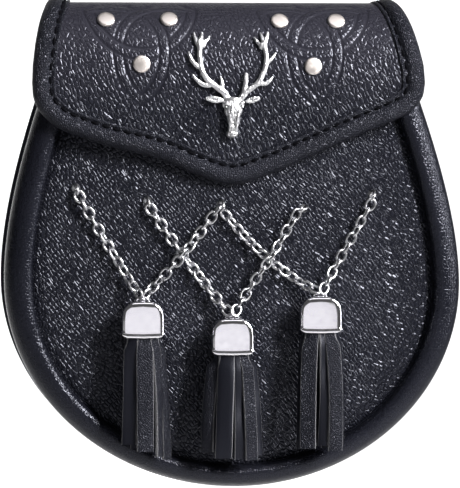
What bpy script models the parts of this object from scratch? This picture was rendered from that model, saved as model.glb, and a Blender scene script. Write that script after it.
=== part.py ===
"""Leather sporran pouch with a folded flap, a stag emblem, six chains and three tassels.

Metres, +Z up, the front faces -Y. The origin lies between the two belt loops on the back,
where a belt or chain strap holds the pouch.
"""
import math

import bmesh
import bpy
from mathutils import Matrix, Vector

MM = 0.001
GAP = 0.3 * MM                     # clearance between neighbouring pieces

# ---- Pouch body ---------------------------------------------------------------------------
HALF_WIDTH = 95.45 * MM            # over the padded roll, at the widest place
WIDEST_Z = -82.7 * MM
BOTTOM_DROP = 85.8 * MM            # from the widest place down to the bottom
TAPER = 0.515                      # how fast the sides close in towards the top
TAPER_EASE = 110.0 * MM            # length over which that taper sets in
ROLL_SIDE = 12.0 * MM              # width of the roll at the sides
ROLL_BOTTOM = 9.4 * MM             # width of the roll at the bottom
MIDDLE_X = 1.25 * MM               # the body's middle line at its widest place
MIDDLE_LEAN = 0.015                # and how far that line moves right for each metre down
ROLL_FRONT_Y = -41.5 * MM          # foremost line of the roll
BACK_Y = -6.0 * MM                 # rear face of the back panel
BACK_THICK = 2.4 * MM
BACK_MARGIN = 0.9 * MM             # the back panel stands out this far past the roll
BACK_TOP_Z = 23.6 * MM
GUSSET_TOP_Z = 22.0 * MM
PANEL_TOP_Z = 18.0 * MM
MOUTH_NARROWS = 5.8 * MM           # the pouch is this much thinner at its mouth, under the fold
PANEL_THICK = 2.0 * MM
PANEL_EDGE_Y = -36.6 * MM          # front face of the front panel, at its seam
PANEL_DOME = 4.0 * MM              # how far its middle bulges past its seam
SIDE_STEPS = 9
BOTTOM_STEPS = 28

# Section of the gusset and its roll. inward is a part of the roll's width, measured from the
# roll's outer edge; behind is the distance behind the roll's foremost line.
GUSSET_SECTION = (
    # inward, behind
    (0.19, 32.8 * MM),
    (0.14, 21.0 * MM),
    (0.07, 14.5 * MM),
    (0.00, 8.2 * MM),
    (0.06, 4.2 * MM),
    (0.23, 1.2 * MM),
    (0.50, 0.0 * MM),
    (0.77, 1.0 * MM),
    (0.94, 3.4 * MM),
    (1.00, 5.4 * MM),
    (0.98, 7.6 * MM),
    (0.66, 11.2 * MM),
    (0.38, 14.5 * MM),
    (0.33, 21.0 * MM),
    (0.36, 32.8 * MM),
)

# ---- Flap ---------------------------------------------------------------------------------
FLAP_THICK = 2.0 * MM
FLAP_FRONT_Y = -45.4 * MM          # front face of the flap where it hangs straight
FLAP_LEAN = 0.9 * MM               # how far its tip leans back towards the pouch
TIP_Z = -40.5 * MM
FOLD_TOP_Z = 34.0 * MM
FOLD_Y = -23.0 * MM                # the fold's highest line
REAR_BEND_Z = 24.0 * MM            # below this the flap lies flat on the back
REAR_FACE_Y = BACK_Y + GAP + FLAP_THICK
REAR_END_Z = 18.8 * MM
BINDING_REAR_SHARE = 0.55          # part of the rear bend that the binding covers
FRONT_BEND_RADIUS = 28.0 * MM      # mean radius, turns the front bend's angle into a length
REAR_BEND_RADIUS = 14.0 * MM
FRONT_RUN = FRONT_BEND_RADIUS * math.pi / 2
REAR_RUN = REAR_BEND_RADIUS * math.pi / 2
END_RUN = FRONT_RUN + REAR_RUN + REAR_BEND_Z - REAR_END_Z

# Side edges of the flap by the run up the flap from the line where its bend begins.
FLAP_SIDES = (
    # run, left x, right x
    (0.0 * MM, -81.4 * MM, 79.0 * MM),
    (6.0 * MM, -81.1 * MM, 78.5 * MM),
    (14.0 * MM, -80.0 * MM, 76.5 * MM),
    (23.0 * MM, -78.3 * MM, 74.1 * MM),
    (33.0 * MM, -76.0 * MM, 71.4 * MM),
    (44.0 * MM, -74.3 * MM, 69.0 * MM),
    (72.0 * MM, -73.2 * MM, 68.2 * MM),
)

# Lower edge of the flap, from its left side round both corners and the tip to the right.
FLAP_EDGE = (
    # x, z
    (-81.4 * MM, 0.0 * MM),
    (-80.7 * MM, -6.5 * MM),
    (-77.6 * MM, -12.0 * MM),
    (-69.5 * MM, -18.3 * MM),
    (-51.4 * MM, -24.6 * MM),
    (-30.3 * MM, -30.0 * MM),
    (-14.5 * MM, -36.6 * MM),
    (0.2 * MM, TIP_Z),
    (14.5 * MM, -36.4 * MM),
    (28.3 * MM, -30.7 * MM),
    (47.0 * MM, -22.4 * MM),
    (63.0 * MM, -15.8 * MM),
    (72.6 * MM, -11.2 * MM),
    (77.7 * MM, -5.8 * MM),
    (79.0 * MM, 0.0 * MM),
)

BINDING_WIDTH = 9.0 * MM
# Section of the binding. inward is the distance in from the flap's edge, proud the height
# above the flap's front face.
BINDING_SECTION = (
    # inward, proud
    (BINDING_WIDTH, GAP),
    (BINDING_WIDTH, 1.4 * MM),
    (4.0 * MM, 1.9 * MM),
    (0.3 * MM, 1.4 * MM),
    (-1.2 * MM, 0.1 * MM),
    (-1.3 * MM, -1.6 * MM),
    (-0.2 * MM, -3.2 * MM),
    (BINDING_WIDTH, -3.4 * MM),
    (BINDING_WIDTH, -FLAP_THICK - GAP),
    (-GAP, -FLAP_THICK - GAP),
    (-GAP, GAP),
)

# ---- Trim ---------------------------------------------------------------------------------
STUD_RADIUS = 3.65 * MM
STUD_SIDES = 12
STUD_HEIGHT = 1.4 * MM
STUD_PROFILE = (
    # radius and height above the flap, as parts of the stud's
    (1.00, 0.00),
    (1.00, 0.35),
    (0.82, 0.78),
    (0.45, 1.00),
)
STUDS = (
    # x, z
    (-51.9 * MM, 26.1 * MM),
    (-25.8 * MM, 26.3 * MM),
    (-37.7 * MM, 7.8 * MM),
    (20.2 * MM, 25.7 * MM),
    (43.9 * MM, 25.7 * MM),
    (33.4 * MM, 7.0 * MM),
)
EMBLEM_X = -0.1 * MM               # middle line of the stag's head
EMBLEM_POST = (EMBLEM_X, -10.0 * MM)
HEAD_SIDES = 9
# Sections of the stag's head, from the crown down to the muzzle.
HEAD_SECTIONS = (
    # z, half width, height above the flap
    (-5.9 * MM, 2.6 * MM, 1.9 * MM),
    (-8.4 * MM, 4.5 * MM, 3.4 * MM),
    (-10.8 * MM, 3.8 * MM, 4.2 * MM),
    (-13.6 * MM, 2.9 * MM, 4.3 * MM),
    (-18.0 * MM, 2.0 * MM, 3.9 * MM),
    (-20.6 * MM, 2.4 * MM, 3.5 * MM),
    (-22.5 * MM, 1.5 * MM, 2.2 * MM),
)
# Branches of one antler and its ear, mirrored for the other side, in millimetres.
ANTLER = (
    # x from the middle line, z, radius
    ((2.0, -6.9, 1.08), (3.4, -5.2, 1.3), (5.6, -3.1, 1.19), (8.6, -0.9, 1.19), (10.9, 1.7, 1.13),
     (12.6, 5.1, 1.08), (13.6, 9.0, 1.08), (13.8, 12.6, 1.08), (13.6, 15.6, 1.19), (12.1, 20.8, 0.4)),
    ((13.6, 14.8, 0.97), (14.9, 17.7, 0.86), (15.6, 20.8, 0.35)),
    ((13.3, 15.0, 0.97), (11.2, 17.3, 0.86), (9.1, 19.3, 0.35)),
    ((13.2, 6.8, 0.97), (16.4, 9.0, 0.92), (18.2, 12.6, 0.35)),
    ((9.4, -0.7, 0.97), (14.0, 0.5, 0.92), (16.8, 3.3, 0.35)),
    ((4.3, -4.4, 0.97), (5.4, -0.1, 0.86), (5.2, 3.9, 0.35)),
    ((2.6, -8.1, 1.3), (5.8, -6.5, 1.51), (8.4, -5.8, 1.3), (11.2, -6.6, 0.35)),
)
HEAD_FULLNESS = 0.8                # under 1 the head's sections are fuller than round
POST_RADIUS = 1.1 * MM             # of the posts that hold the studs and the emblem
POST_HOLE_RADIUS = 1.45 * MM
POST_PLATE_RADIUS = 2.6 * MM
POST_PLATE_THICK = 0.6 * MM
POST_SIDES = 10
EMBLEM_POST_RISE = 1.2 * MM        # how far the emblem's post reaches into its casting

# ---- Chains and tassels -------------------------------------------------------------------
CHAIN_RADIUS = 1.8 * MM            # envelope of the links
CHAIN_OFF_PANEL = 2.2 * MM         # from the panel's face to the chain's middle line
CHAIN_CROSSING_LIFT = 4.6 * MM
CHAIN_CROSSING_REACH = 9.0 * MM
CHAIN_LEAVES_PANEL = 0.6           # part of its length after which it runs out to its bail
CHAIN_STEPS = 10
HOLE_RADIUS = 1.8 * MM
HOLES = (
    # x, z
    (-64.4 * MM, -43.5 * MM),
    (-34.9 * MM, -48.7 * MM),
    (-4.5 * MM, -50.2 * MM),
    (30.0 * MM, -52.0 * MM),
    (59.0 * MM, -46.3 * MM),
)
TASSELS = (
    # x, cap bottom z, length of the fringe below it, side its strips lean to
    (-37.6 * MM, -104.8 * MM, 47.7 * MM, 1.0),
    (-0.6 * MM, -112.0 * MM, 43.6 * MM, -1.0),
    (36.1 * MM, -103.2 * MM, 49.1 * MM, 1.0),
)
# Each chain hangs between a hole and a tassel. It lies on the panel from a place beside and
# below its hole. over is how far down its length, as a part of it, the chain passes over
# another one; None where it doesn't. sag is how far its middle hangs below a straight line.
CHAINS = (
    # hole, tassel, over, start beside the hole, start below it, sag
    (0, 0, None, 1.2 * MM, 3.2 * MM, 0.6 * MM),
    (2, 0, 0.52, -1.9 * MM, 2.2 * MM, 1.4 * MM),
    (1, 1, None, 1.2 * MM, 3.4 * MM, 1.2 * MM),
    (3, 1, 0.45, -3.4 * MM, 2.4 * MM, 0.4 * MM),
    (2, 2, None, 1.9 * MM, 4.3 * MM, 3.3 * MM),
    (4, 2, None, -1.0 * MM, 4.1 * MM, 0.2 * MM),
)
CAP_HALF_WIDTH = 8.35 * MM
CAP_DEPTH_RATIO = 0.74             # depth of a cap over its width
CAP_HEIGHT = 15.2 * MM
CAP_WALL = 0.9 * MM
CAP_SIDES = 18
CAP_SHOULDER = 0.5                 # above this part of its height a cap's wall lies over like a roof
# Profile of a cap from the middle of its ceiling, down inside, round the rim and up outside.
CAP_PROFILE = (
    # radius as a part of the half width, height as a part of the cap's, wall taken off
    (0.40, 0.96, CAP_WALL),
    (0.78, 0.82, CAP_WALL),
    (0.97, 0.54, CAP_WALL),
    (1.00, 0.00, CAP_WALL),
    (1.00, 0.00, 0.0),
    (1.00, 0.28, 0.0),
    (0.97, 0.52, 0.0),
    (0.84, 0.78, 0.0),
    (0.60, 0.93, 0.0),
    (0.30, 1.00, 0.0),
)
BAIL_HALF_WIDTH = 2.6 * MM
BAIL_RISE = 1.8 * MM
BAIL_WIRE = 0.6 * MM
BAIL_STEPS = 8
BAIL_SINK = 0.4 * MM               # how deep its ends sit in the cap's top
FRINGE_HEAD_CLEARANCE = 0.45 * MM  # between the fringe's head and the cap's wall
FRINGE_HEAD_PROFILE = (
    # radius as a part of the head's, height as a part of the cap's
    (1.0, -0.02),
    (1.0, 0.40),
    (0.7, 0.55),
)
STRIP_START = 1.0 * MM             # the strips leave the head this far above the cap's rim
STRIP_THICK = 1.5 * MM
STRIP_STEPS = 4
# Strips of a fringe. x and y are parts of the head's half width and half depth, at the head
# and at the strip's lower end; width in metres, turn in degrees about the strip's length,
# length as a part of the fringe's.
STRIPS = (
    # head x, head y, end x, end y, width, turn, length
    (-0.55, -0.30, -1.15, -0.40, 4.2 * MM, 24.0, 0.90),
    (-0.25, -0.62, -0.52, -0.80, 4.4 * MM, -12.0, 0.95),
    (0.15, -0.64, 0.12, -0.95, 4.4 * MM, 14.0, 1.00),
    (0.48, -0.45, 0.75, -0.65, 4.2 * MM, -24.0, 0.99),
    (0.72, 0.00, 1.35, -0.15, 3.0 * MM, 66.0, 0.96),
    (-0.48, 0.40, -0.85, 0.40, 4.4 * MM, 8.0, 0.93),
    (0.00, 0.50, -0.15, 0.55, 4.6 * MM, -6.0, 0.97),
    (0.48, 0.40, 0.75, 0.35, 4.4 * MM, 10.0, 0.98),
)
CHAIN_END_SPREAD = 2.6 * MM        # the two chains of a tassel end this far either side of it

BELT_LOOP_X = 40.0 * MM
BELT_LOOP_WIDTH = 22.0 * MM
# Upper half of a belt loop's section, from its middle to its sewn end. behind is the distance
# from the back panel's face.
BELT_LOOP_OUTSIDE = (
    # behind, height
    (12.0 * MM, 11.0 * MM),
    (10.5 * MM, 12.5 * MM),
    (2.5 * MM, 14.5 * MM),
    (2.5 * MM, 17.5 * MM),
)
BELT_LOOP_INSIDE = (
    # behind, height
    (9.8 * MM, 10.1 * MM),
    (9.2 * MM, 11.1 * MM),
    (GAP, 13.9 * MM),
    (GAP, 17.5 * MM),
)
# Profiles of small turned parts, from the leather outwards.
ANCHOR_PROFILE = (
    # radius, height above the panel's rear face
    (3.0 * MM, -1.6 * MM),
    (3.0 * MM, -0.7 * MM),
    (1.2 * MM, -0.7 * MM),
    (1.2 * MM, 0.8 * MM),
)
CLOSURE_Z = -22.0 * MM
CLOSURE_PROFILE = (
    # radius, height above the panel
    (5.0 * MM, 0.0 * MM),
    (5.0 * MM, 0.8 * MM),
    (4.0 * MM, 1.5 * MM),
)


def material(name, color, roughness, metallic):
    """A plain Principled material."""
    made = bpy.data.materials.new(name)
    made.use_nodes = True
    shader = made.node_tree.nodes["Principled BSDF"]
    shader.inputs["Base Color"].default_value = (*color, 1.0)
    shader.inputs["Roughness"].default_value = roughness
    shader.inputs["Metallic"].default_value = metallic
    return made


def leather(name, roughness):
    return material(name, (0.012, 0.012, 0.016), roughness, 0.0)


def silver(name, roughness):
    return material(name, (0.72, 0.72, 0.73), roughness, 1.0)


def finish(name, mesh_builder, skin):
    """Turn a bmesh into a named object with outward faces and smooth shading."""
    bmesh.ops.remove_doubles(mesh_builder, verts=mesh_builder.verts, dist=0.001 * MM)
    bmesh.ops.recalc_face_normals(mesh_builder, faces=mesh_builder.faces)
    mesh = bpy.data.meshes.new(name)
    mesh_builder.to_mesh(mesh)
    mesh_builder.free()
    mesh.materials.append(skin)
    mesh.shade_smooth()
    mesh.set_sharp_from_angle(angle=math.radians(38))
    piece = bpy.data.objects.new(name, mesh)
    bpy.context.collection.objects.link(piece)
    return piece


def combine(target, others, operation):
    """Cut the other pieces out of the target, or fuse them to it, and delete them."""
    for other in others:
        step = target.modifiers.new(other.name, "BOOLEAN")
        step.operation = operation
        step.solver = "EXACT"
        step.object = other
    bpy.context.view_layer.update()
    depsgraph = bpy.context.evaluated_depsgraph_get()
    result = bpy.data.meshes.new_from_object(target.evaluated_get(depsgraph))
    result.name = target.name
    target.modifiers.clear()
    target.data = result
    for other in others:
        bpy.data.objects.remove(other)
    return target


def loft(mesh_builder, loops):
    """Skin a row of closed loops that have the same number of points, and cap both ends."""
    rings = [[mesh_builder.verts.new(point) for point in loop] for loop in loops]
    for near, far in zip(rings, rings[1:]):
        for index in range(len(near)):
            after = (index + 1) % len(near)
            mesh_builder.faces.new((near[index], near[after], far[after], far[index]))
    mesh_builder.faces.new(rings[0])
    mesh_builder.faces.new(rings[-1])


def sheet(mesh_builder, rows, place, thickness):
    """A closed sheet over a grid. place(a, b, depth) gives the point at a depth below the face."""
    layers = []
    for depth in (0.0, thickness):
        layers.append([[mesh_builder.verts.new(place(a, b, depth)) for a, b in row] for row in rows])
    front, back = layers
    last_row = len(rows) - 1
    last_column = len(rows[0]) - 1
    for i in range(last_row):
        for j in range(last_column):
            for layer in layers:
                mesh_builder.faces.new((layer[i][j], layer[i][j + 1], layer[i + 1][j + 1], layer[i + 1][j]))
    rim = [(0, j) for j in range(last_column)]
    rim += [(i, last_column) for i in range(last_row)]
    rim += [(last_row, j) for j in range(last_column, 0, -1)]
    rim += [(i, 0) for i in range(last_row, 0, -1)]
    for (i, j), (k, m) in zip(rim, rim[1:] + rim[:1]):
        mesh_builder.faces.new((front[i][j], front[k][m], back[k][m], back[i][j]))


def table_value(table, column, at):
    """Straight interpolation of one column of a table whose first column rises."""
    for low, high in zip(table, table[1:]):
        if at <= high[0]:
            share = (at - low[0]) / (high[0] - low[0])
            return low[column] + (high[column] - low[column]) * max(share, 0.0)
    return table[-1][column]


def smooth_curve(points, steps):
    """Points on a Catmull-Rom curve through the given ones, evenly spread over the spans."""
    vectors = [Vector(point) for point in points]
    ends = [vectors[0] * 2 - vectors[1], *vectors, vectors[-1] * 2 - vectors[-2]]
    curve = []
    for step in range(steps + 1):
        along = min(step / steps * (len(vectors) - 1), len(vectors) - 1 - 1e-9)
        span = int(along)
        t = along - span
        a, b, c, d = ends[span:span + 4]
        curve.append(((b * 2) + (c - a) * t + (a * 2 - b * 5 + c * 4 - d) * t ** 2
                      + (b * 3 - a - c * 3 + d) * t ** 3) / 2)
    return curve


def turned(mesh_builder, profile, sides, frame, depth_ratio=1.0):
    """Turn (radius, height) points about a frame's local Z, with its Y squeezed."""
    loops = []
    for radius, height in profile:
        loop = []
        for side in range(sides):
            angle = 2 * math.pi * side / sides
            local = Vector((radius * math.cos(angle), radius * depth_ratio * math.sin(angle), height))
            loop.append(frame @ local)
        loops.append(loop)
    loft(mesh_builder, loops)


def tube(mesh_builder, points, radii, sides):
    """A round bar through points in an upright plane that faces the front, with a radius each."""
    loops = []
    for index, point in enumerate(points):
        before = points[max(index - 1, 0)]
        after = points[min(index + 1, len(points) - 1)]
        along = (after - before).normalized()
        sideways = along.cross(Vector((0.0, 1.0, 0.0))).normalized()
        outwards = sideways.cross(along)
        loop = []
        for side in range(sides):
            angle = 2 * math.pi * (side + 0.5) / sides
            spoke = sideways * math.cos(angle) + outwards * math.sin(angle)
            loop.append(point + spoke * radii[index])
        loops.append(loop)
    loft(mesh_builder, loops)


# ---- Pouch body ---------------------------------------------------------------------------

def taper(z):
    rise = z - WIDEST_Z
    return TAPER * rise ** 2 / (rise + TAPER_EASE)


def middle_x(z):
    """The body's middle line, which leans a little to the right on its way down."""
    return MIDDLE_X + MIDDLE_LEAN * (WIDEST_Z - z)


def outline(side_inset, bottom_inset, top_z):
    """Points (x, z) of the pouch's outline moved inwards, from the top left to the top right."""
    half = HALF_WIDTH - side_inset
    drop = BOTTOM_DROP - bottom_inset
    side = []
    for step in range(SIDE_STEPS):
        z = top_z + (WIDEST_Z - top_z) * step / SIDE_STEPS
        side.append((half - taper(z), z))
    bottom = []
    for step in range(BOTTOM_STEPS + 1):
        angle = math.pi * step / BOTTOM_STEPS
        bottom.append((half * math.cos(angle), WIDEST_Z - drop * math.sin(angle)))
    left = [(middle_x(z) - reach, z) for reach, z in side + bottom]
    return left + [(middle_x(z) + reach, z) for reach, z in reversed(side)]


def mouth_shift(z):
    """How far the front of the pouch has moved back at this height."""
    return MOUTH_NARROWS * (max(z, 0.0) / GUSSET_TOP_Z) ** 2


def panel_front_y(x, z):
    """Depth of the front panel's domed face."""
    half = HALF_WIDTH - ROLL_SIDE
    across = x - middle_x(z)
    if z > WIDEST_Z:
        dome = 1 - (across / (half - taper(z))) ** 2
    else:
        dome = 1 - (across / half) ** 2 - ((WIDEST_Z - z) / (BOTTOM_DROP - ROLL_BOTTOM)) ** 2
    return PANEL_EDGE_Y - PANEL_DOME * max(dome, 0.0) + mouth_shift(z)


def add_back_panel():
    edge = outline(-BACK_MARGIN, -BACK_MARGIN, BACK_TOP_Z)
    mesh_builder = bmesh.new()
    loft(mesh_builder, [[(x, y, z) for x, z in edge] for y in (BACK_Y, BACK_Y - BACK_THICK)])
    return finish("back_panel", mesh_builder, leather("back_leather", 0.5))


def add_gusset():
    """The side wall and the padded roll, swept as one section along the outline."""
    outer = outline(0.0, 0.0, GUSSET_TOP_Z)
    inner = outline(ROLL_SIDE, ROLL_BOTTOM, GUSSET_TOP_Z)
    section_depth = max(behind for inward, behind in GUSSET_SECTION)
    loops = []
    for (out_x, out_z), (in_x, in_z) in zip(outer, inner):
        loop = []
        for inward, behind in GUSSET_SECTION:
            x = out_x + (in_x - out_x) * inward
            z = out_z + (in_z - out_z) * inward
            shift = mouth_shift(out_z) * (1 - behind / section_depth)
            loop.append((x, ROLL_FRONT_Y + behind + shift, z))
        loops.append(loop)
    mesh_builder = bmesh.new()
    loft(mesh_builder, loops)
    return finish("gusset", mesh_builder, leather("roll_leather", 0.35))


def add_front_panel():
    edge = outline(ROLL_SIDE + GAP, ROLL_BOTTOM + GAP, PANEL_TOP_Z)
    middle = len(edge) // 2
    columns = 10
    rows = []
    for x, z in edge[:middle + 1]:
        half = middle_x(z) - x
        rows.append([(x + half * 2 * column / columns, z) for column in range(columns + 1)])
    mesh_builder = bmesh.new()
    sheet(mesh_builder, rows, lambda x, z, depth: (x, panel_front_y(x, z) + depth, z), PANEL_THICK)
    panel = finish("front_panel", mesh_builder, leather("panel_leather", 0.45))
    cutters = []
    for x, z in HOLES:
        middle_y = panel_front_y(x, z) + PANEL_THICK / 2
        bpy.ops.mesh.primitive_cylinder_add(
            vertices=12, radius=HOLE_RADIUS, depth=PANEL_THICK * 4,
            location=(x, middle_y, z), rotation=(math.pi / 2, 0.0, 0.0))
        cutters.append(bpy.context.object)
    return combine(panel, cutters, "DIFFERENCE")


# ---- Flap ---------------------------------------------------------------------------------

def flap_point(x, run, depth):
    """A point of the flap. run goes up the front, over the fold and down the back."""
    if run <= 0.0:
        lean = FLAP_LEAN * (run / TIP_Z) ** 2
        return Vector((x, FLAP_FRONT_Y + lean + depth, run))
    if run <= FRONT_RUN:
        turn = run / FRONT_BEND_RADIUS
        reach = FOLD_Y - FLAP_FRONT_Y
        face = Vector((x, FOLD_Y - reach * math.cos(turn), FOLD_TOP_Z * math.sin(turn)))
        normal = Vector((0.0, -FOLD_TOP_Z * math.cos(turn), reach * math.sin(turn)))
    elif run <= FRONT_RUN + REAR_RUN:
        turn = (run - FRONT_RUN) / REAR_BEND_RADIUS
        reach = REAR_FACE_Y - FOLD_Y
        height = FOLD_TOP_Z - REAR_BEND_Z
        face = Vector((x, FOLD_Y + reach * math.sin(turn), REAR_BEND_Z + height * math.cos(turn)))
        normal = Vector((0.0, height * math.sin(turn), reach * math.cos(turn)))
    else:
        down = run - FRONT_RUN - REAR_RUN
        face = Vector((x, REAR_FACE_Y, REAR_BEND_Z - down))
        normal = Vector((0.0, 1.0, 0.0))
    return face - normal.normalized() * depth


def run_at_height(z):
    """The run at which the front of the flap is at this height."""
    if z <= 0.0:
        return z
    return FRONT_BEND_RADIUS * math.asin(min(z / FOLD_TOP_Z, 1.0))


def side_x(column, run):
    return table_value(FLAP_SIDES, column, run)


def flap_edge(steps):
    return [(point.x, point.z) for point in smooth_curve([(x, 0.0, z) for x, z in FLAP_EDGE], steps)]


def facing_frame(x, z, proud):
    """A frame on the flap's front face whose local Z points straight out of the leather."""
    run = run_at_height(z)
    out = (flap_point(x, run, 0.0) - flap_point(x, run, 1.0 * MM)).normalized()
    turn = out.to_track_quat("Z", "Y").to_matrix().to_4x4()
    return Matrix.Translation(flap_point(x, run, -proud)) @ turn


def add_flap():
    columns = 24
    upper_rows = 13
    lower_rows = 4
    rows = []
    for row in range(upper_rows):
        run = END_RUN * (1 - row / upper_rows)
        left = side_x(1, run)
        right = side_x(2, run)
        rows.append([(left + (right - left) * column / columns, run) for column in range(columns + 1)])
    edge = flap_edge(columns)
    left = side_x(1, 0.0)
    right = side_x(2, 0.0)
    for row in range(lower_rows + 1):
        share = row / lower_rows
        line = []
        for column, (edge_x, edge_z) in enumerate(edge):
            x = left + (right - left) * column / columns
            line.append((x + (edge_x - x) * share, edge_z * share))
        rows.append(line)
    mesh_builder = bmesh.new()
    sheet(mesh_builder, rows, flap_point, FLAP_THICK)
    flap = finish("flap", mesh_builder, leather("flap_leather", 0.45))
    cutters = []
    for x, z in STUDS + (EMBLEM_POST,):
        cutter = bmesh.new()
        reach = FLAP_THICK * 2
        hole = ((POST_HOLE_RADIUS, -reach), (POST_HOLE_RADIUS, reach))
        turned(cutter, hole, POST_SIDES, facing_frame(x, z, 0.0))
        cutters.append(finish("post_hole", cutter, flap.data.materials[0]))
    return combine(flap, cutters, "DIFFERENCE")


def add_flap_binding():
    """The folded strip: one section swept up the back, round the front edge and back again."""
    side_steps = 9
    top_run = FRONT_RUN + REAR_RUN * BINDING_REAR_SHARE
    path = []
    for step in range(side_steps):
        run = top_run * (1 - step / side_steps)
        path.append((side_x(1, run), run))
    path += flap_edge(34)
    for step in range(1, side_steps + 1):
        run = top_run * step / side_steps
        path.append((side_x(2, run), run))
    loops = []
    for index, (x, run) in enumerate(path):
        before = Vector(path[max(index - 1, 0)])
        after = Vector(path[min(index + 1, len(path) - 1)])
        along = (after - before).normalized()
        inward_way = Vector((-along.y, along.x))
        loop = []
        for inward, proud in BINDING_SECTION:
            place = Vector((x, run)) + inward_way * inward
            loop.append(flap_point(place.x, place.y, -proud))
        loops.append(loop)
    mesh_builder = bmesh.new()
    loft(mesh_builder, loops)
    return finish("flap_binding", mesh_builder, leather("binding_leather", 0.4))


# ---- Trim ---------------------------------------------------------------------------------

def post_profile():
    """Profile of a hidden post, from its plate behind the flap up to the flap's front face."""
    behind = -FLAP_THICK - GAP
    return (
        (POST_PLATE_RADIUS, behind - POST_PLATE_THICK),
        (POST_PLATE_RADIUS, behind),
        (POST_RADIUS, behind),
    )


def add_stud(name, x, z):
    dome = [(STUD_RADIUS * radius, GAP + STUD_HEIGHT * height) for radius, height in STUD_PROFILE]
    profile = [*post_profile(), (POST_RADIUS, GAP), *dome]
    mesh_builder = bmesh.new()
    turned(mesh_builder, profile, STUD_SIDES, facing_frame(x, z, 0.0))
    return finish(name, mesh_builder, silver("nickel", 0.3))


def add_stag_emblem():
    """One casting: a head with ears and two mirrored antlers, standing on a hidden post."""
    metal = silver("antique_silver", 0.32)
    frame = facing_frame(EMBLEM_POST[0], EMBLEM_POST[1], 0.0)
    root = bmesh.new()
    turned(root, (*post_profile(), (POST_RADIUS, GAP + EMBLEM_POST_RISE)), POST_SIDES, frame)
    emblem = finish("stag_emblem", root, metal)
    parts = []
    head = bmesh.new()
    loops = []
    for z, half, height in HEAD_SECTIONS:
        base = flap_point(EMBLEM_X, run_at_height(z), -GAP)
        loop = []
        for side in range(HEAD_SIDES):
            angle = math.pi * side / (HEAD_SIDES - 1)
            rise = height * math.sin(angle) ** HEAD_FULLNESS
            loop.append(base + Vector((half * math.cos(angle), -rise, 0.0)))
        loops.append(loop)
    loft(head, loops)
    parts.append(finish("head", head, metal))
    for mirror in (-1.0, 1.0):
        for branch in ANTLER:
            points = []
            radii = []
            for across, up, size in branch:
                z = up * MM
                radius = size * MM
                x = EMBLEM_X + mirror * across * MM
                points.append(flap_point(x, run_at_height(z), -GAP - radius))
                radii.append(radius)
            bar = bmesh.new()
            tube(bar, points, radii, 6)
            parts.append(finish("antler", bar, metal))
    return combine(emblem, parts, "UNION")


# ---- Chains and tassels -------------------------------------------------------------------

def cap_centre_y(x, bottom_z):
    """Depth of a cap's middle: its back just clears the domed panel."""
    back = panel_front_y(x, bottom_z + CAP_HEIGHT / 2) - 2 * GAP
    return back - CAP_HALF_WIDTH * CAP_DEPTH_RATIO


def chain_route(hole, tassel, over, beside, below, sag):
    """Middle line of a chain, from beside its hole to beside the bail of its tassel."""
    hole_x, hole_z = HOLES[hole]
    tassel_x, bottom_z = TASSELS[tassel][:2]
    way = 1.0 if tassel_x > hole_x else -1.0
    start = Vector((hole_x + beside, 0.0, hole_z - below))
    bail_top = bottom_z + CAP_HEIGHT + BAIL_RISE + BAIL_WIRE
    end = Vector((tassel_x - way * CHAIN_END_SPREAD, 0.0, bail_top + CHAIN_RADIUS))
    end_y = cap_centre_y(tassel_x, bottom_z)
    length = (end - start).length
    points = []
    for step in range(CHAIN_STEPS + 1):
        share = step / CHAIN_STEPS
        place = start.lerp(end, share)
        place.z -= sag * 4 * share * (1 - share)
        rest_y = panel_front_y(place.x, place.z) - CHAIN_OFF_PANEL
        settle = max(0.0, (share - CHAIN_LEAVES_PANEL) / (1 - CHAIN_LEAVES_PANEL)) ** 2
        place.y = rest_y + (end_y - rest_y) * settle
        if over is not None:
            away = (share - over) * length / CHAIN_CROSSING_REACH
            place.y -= CHAIN_CROSSING_LIFT * math.exp(-away ** 2)
        points.append(place)
    return points


def add_chain(name, route):
    """A chain's envelope: the small links themselves are finer than this model's faces."""
    curve = bpy.data.curves.new(name, "CURVE")
    curve.dimensions = "3D"
    curve.bevel_depth = CHAIN_RADIUS
    curve.bevel_resolution = 2
    curve.use_fill_caps = True
    curve.render_resolution_u = 0
    points = chain_route(*route)
    spline = curve.splines.new("POLY")
    spline.points.add(len(points) - 1)
    for target, place in zip(spline.points, points):
        target.co = (*place, 1.0)
    curve.materials.append(silver("chain_metal", 0.3))
    chain = bpy.data.objects.new(name, curve)
    bpy.context.collection.objects.link(chain)
    return chain


def add_chain_anchor(name, x, z):
    """A plain pin behind a chain hole that holds the chain's last link."""
    back_y = panel_front_y(x, z) + PANEL_THICK
    frame = Matrix.Translation((x, back_y, z)) @ Matrix.Rotation(math.pi / 2, 4, "X")
    mesh_builder = bmesh.new()
    turned(mesh_builder, ANCHOR_PROFILE, 10, frame)
    return finish(name, mesh_builder, silver("anchor_metal", 0.4))


def add_tassel_cap(name, x, bottom_z):
    """A domed metal cup, open below, with a wire bail soldered on top."""
    metal = silver("polished_silver", 0.12)
    frame = Matrix.Translation((x, cap_centre_y(x, bottom_z), bottom_z))
    profile = []
    for radius, height, wall in CAP_PROFILE:
        ceiling = wall if height > CAP_SHOULDER else 0.0
        profile.append((CAP_HALF_WIDTH * radius - wall, CAP_HEIGHT * height - ceiling))
    mesh_builder = bmesh.new()
    turned(mesh_builder, profile, CAP_SIDES, frame, CAP_DEPTH_RATIO)
    cap = finish(name, mesh_builder, metal)
    points = []
    for step in range(BAIL_STEPS + 1):
        angle = math.pi * step / BAIL_STEPS
        rise = CAP_HEIGHT - BAIL_SINK + BAIL_RISE * math.sin(angle)
        points.append(frame @ Vector((-BAIL_HALF_WIDTH * math.cos(angle), 0.0, rise)))
    bail_builder = bmesh.new()
    tube(bail_builder, points, [BAIL_WIRE] * len(points), 6)
    return combine(cap, [finish("bail", bail_builder, metal)], "UNION")


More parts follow.
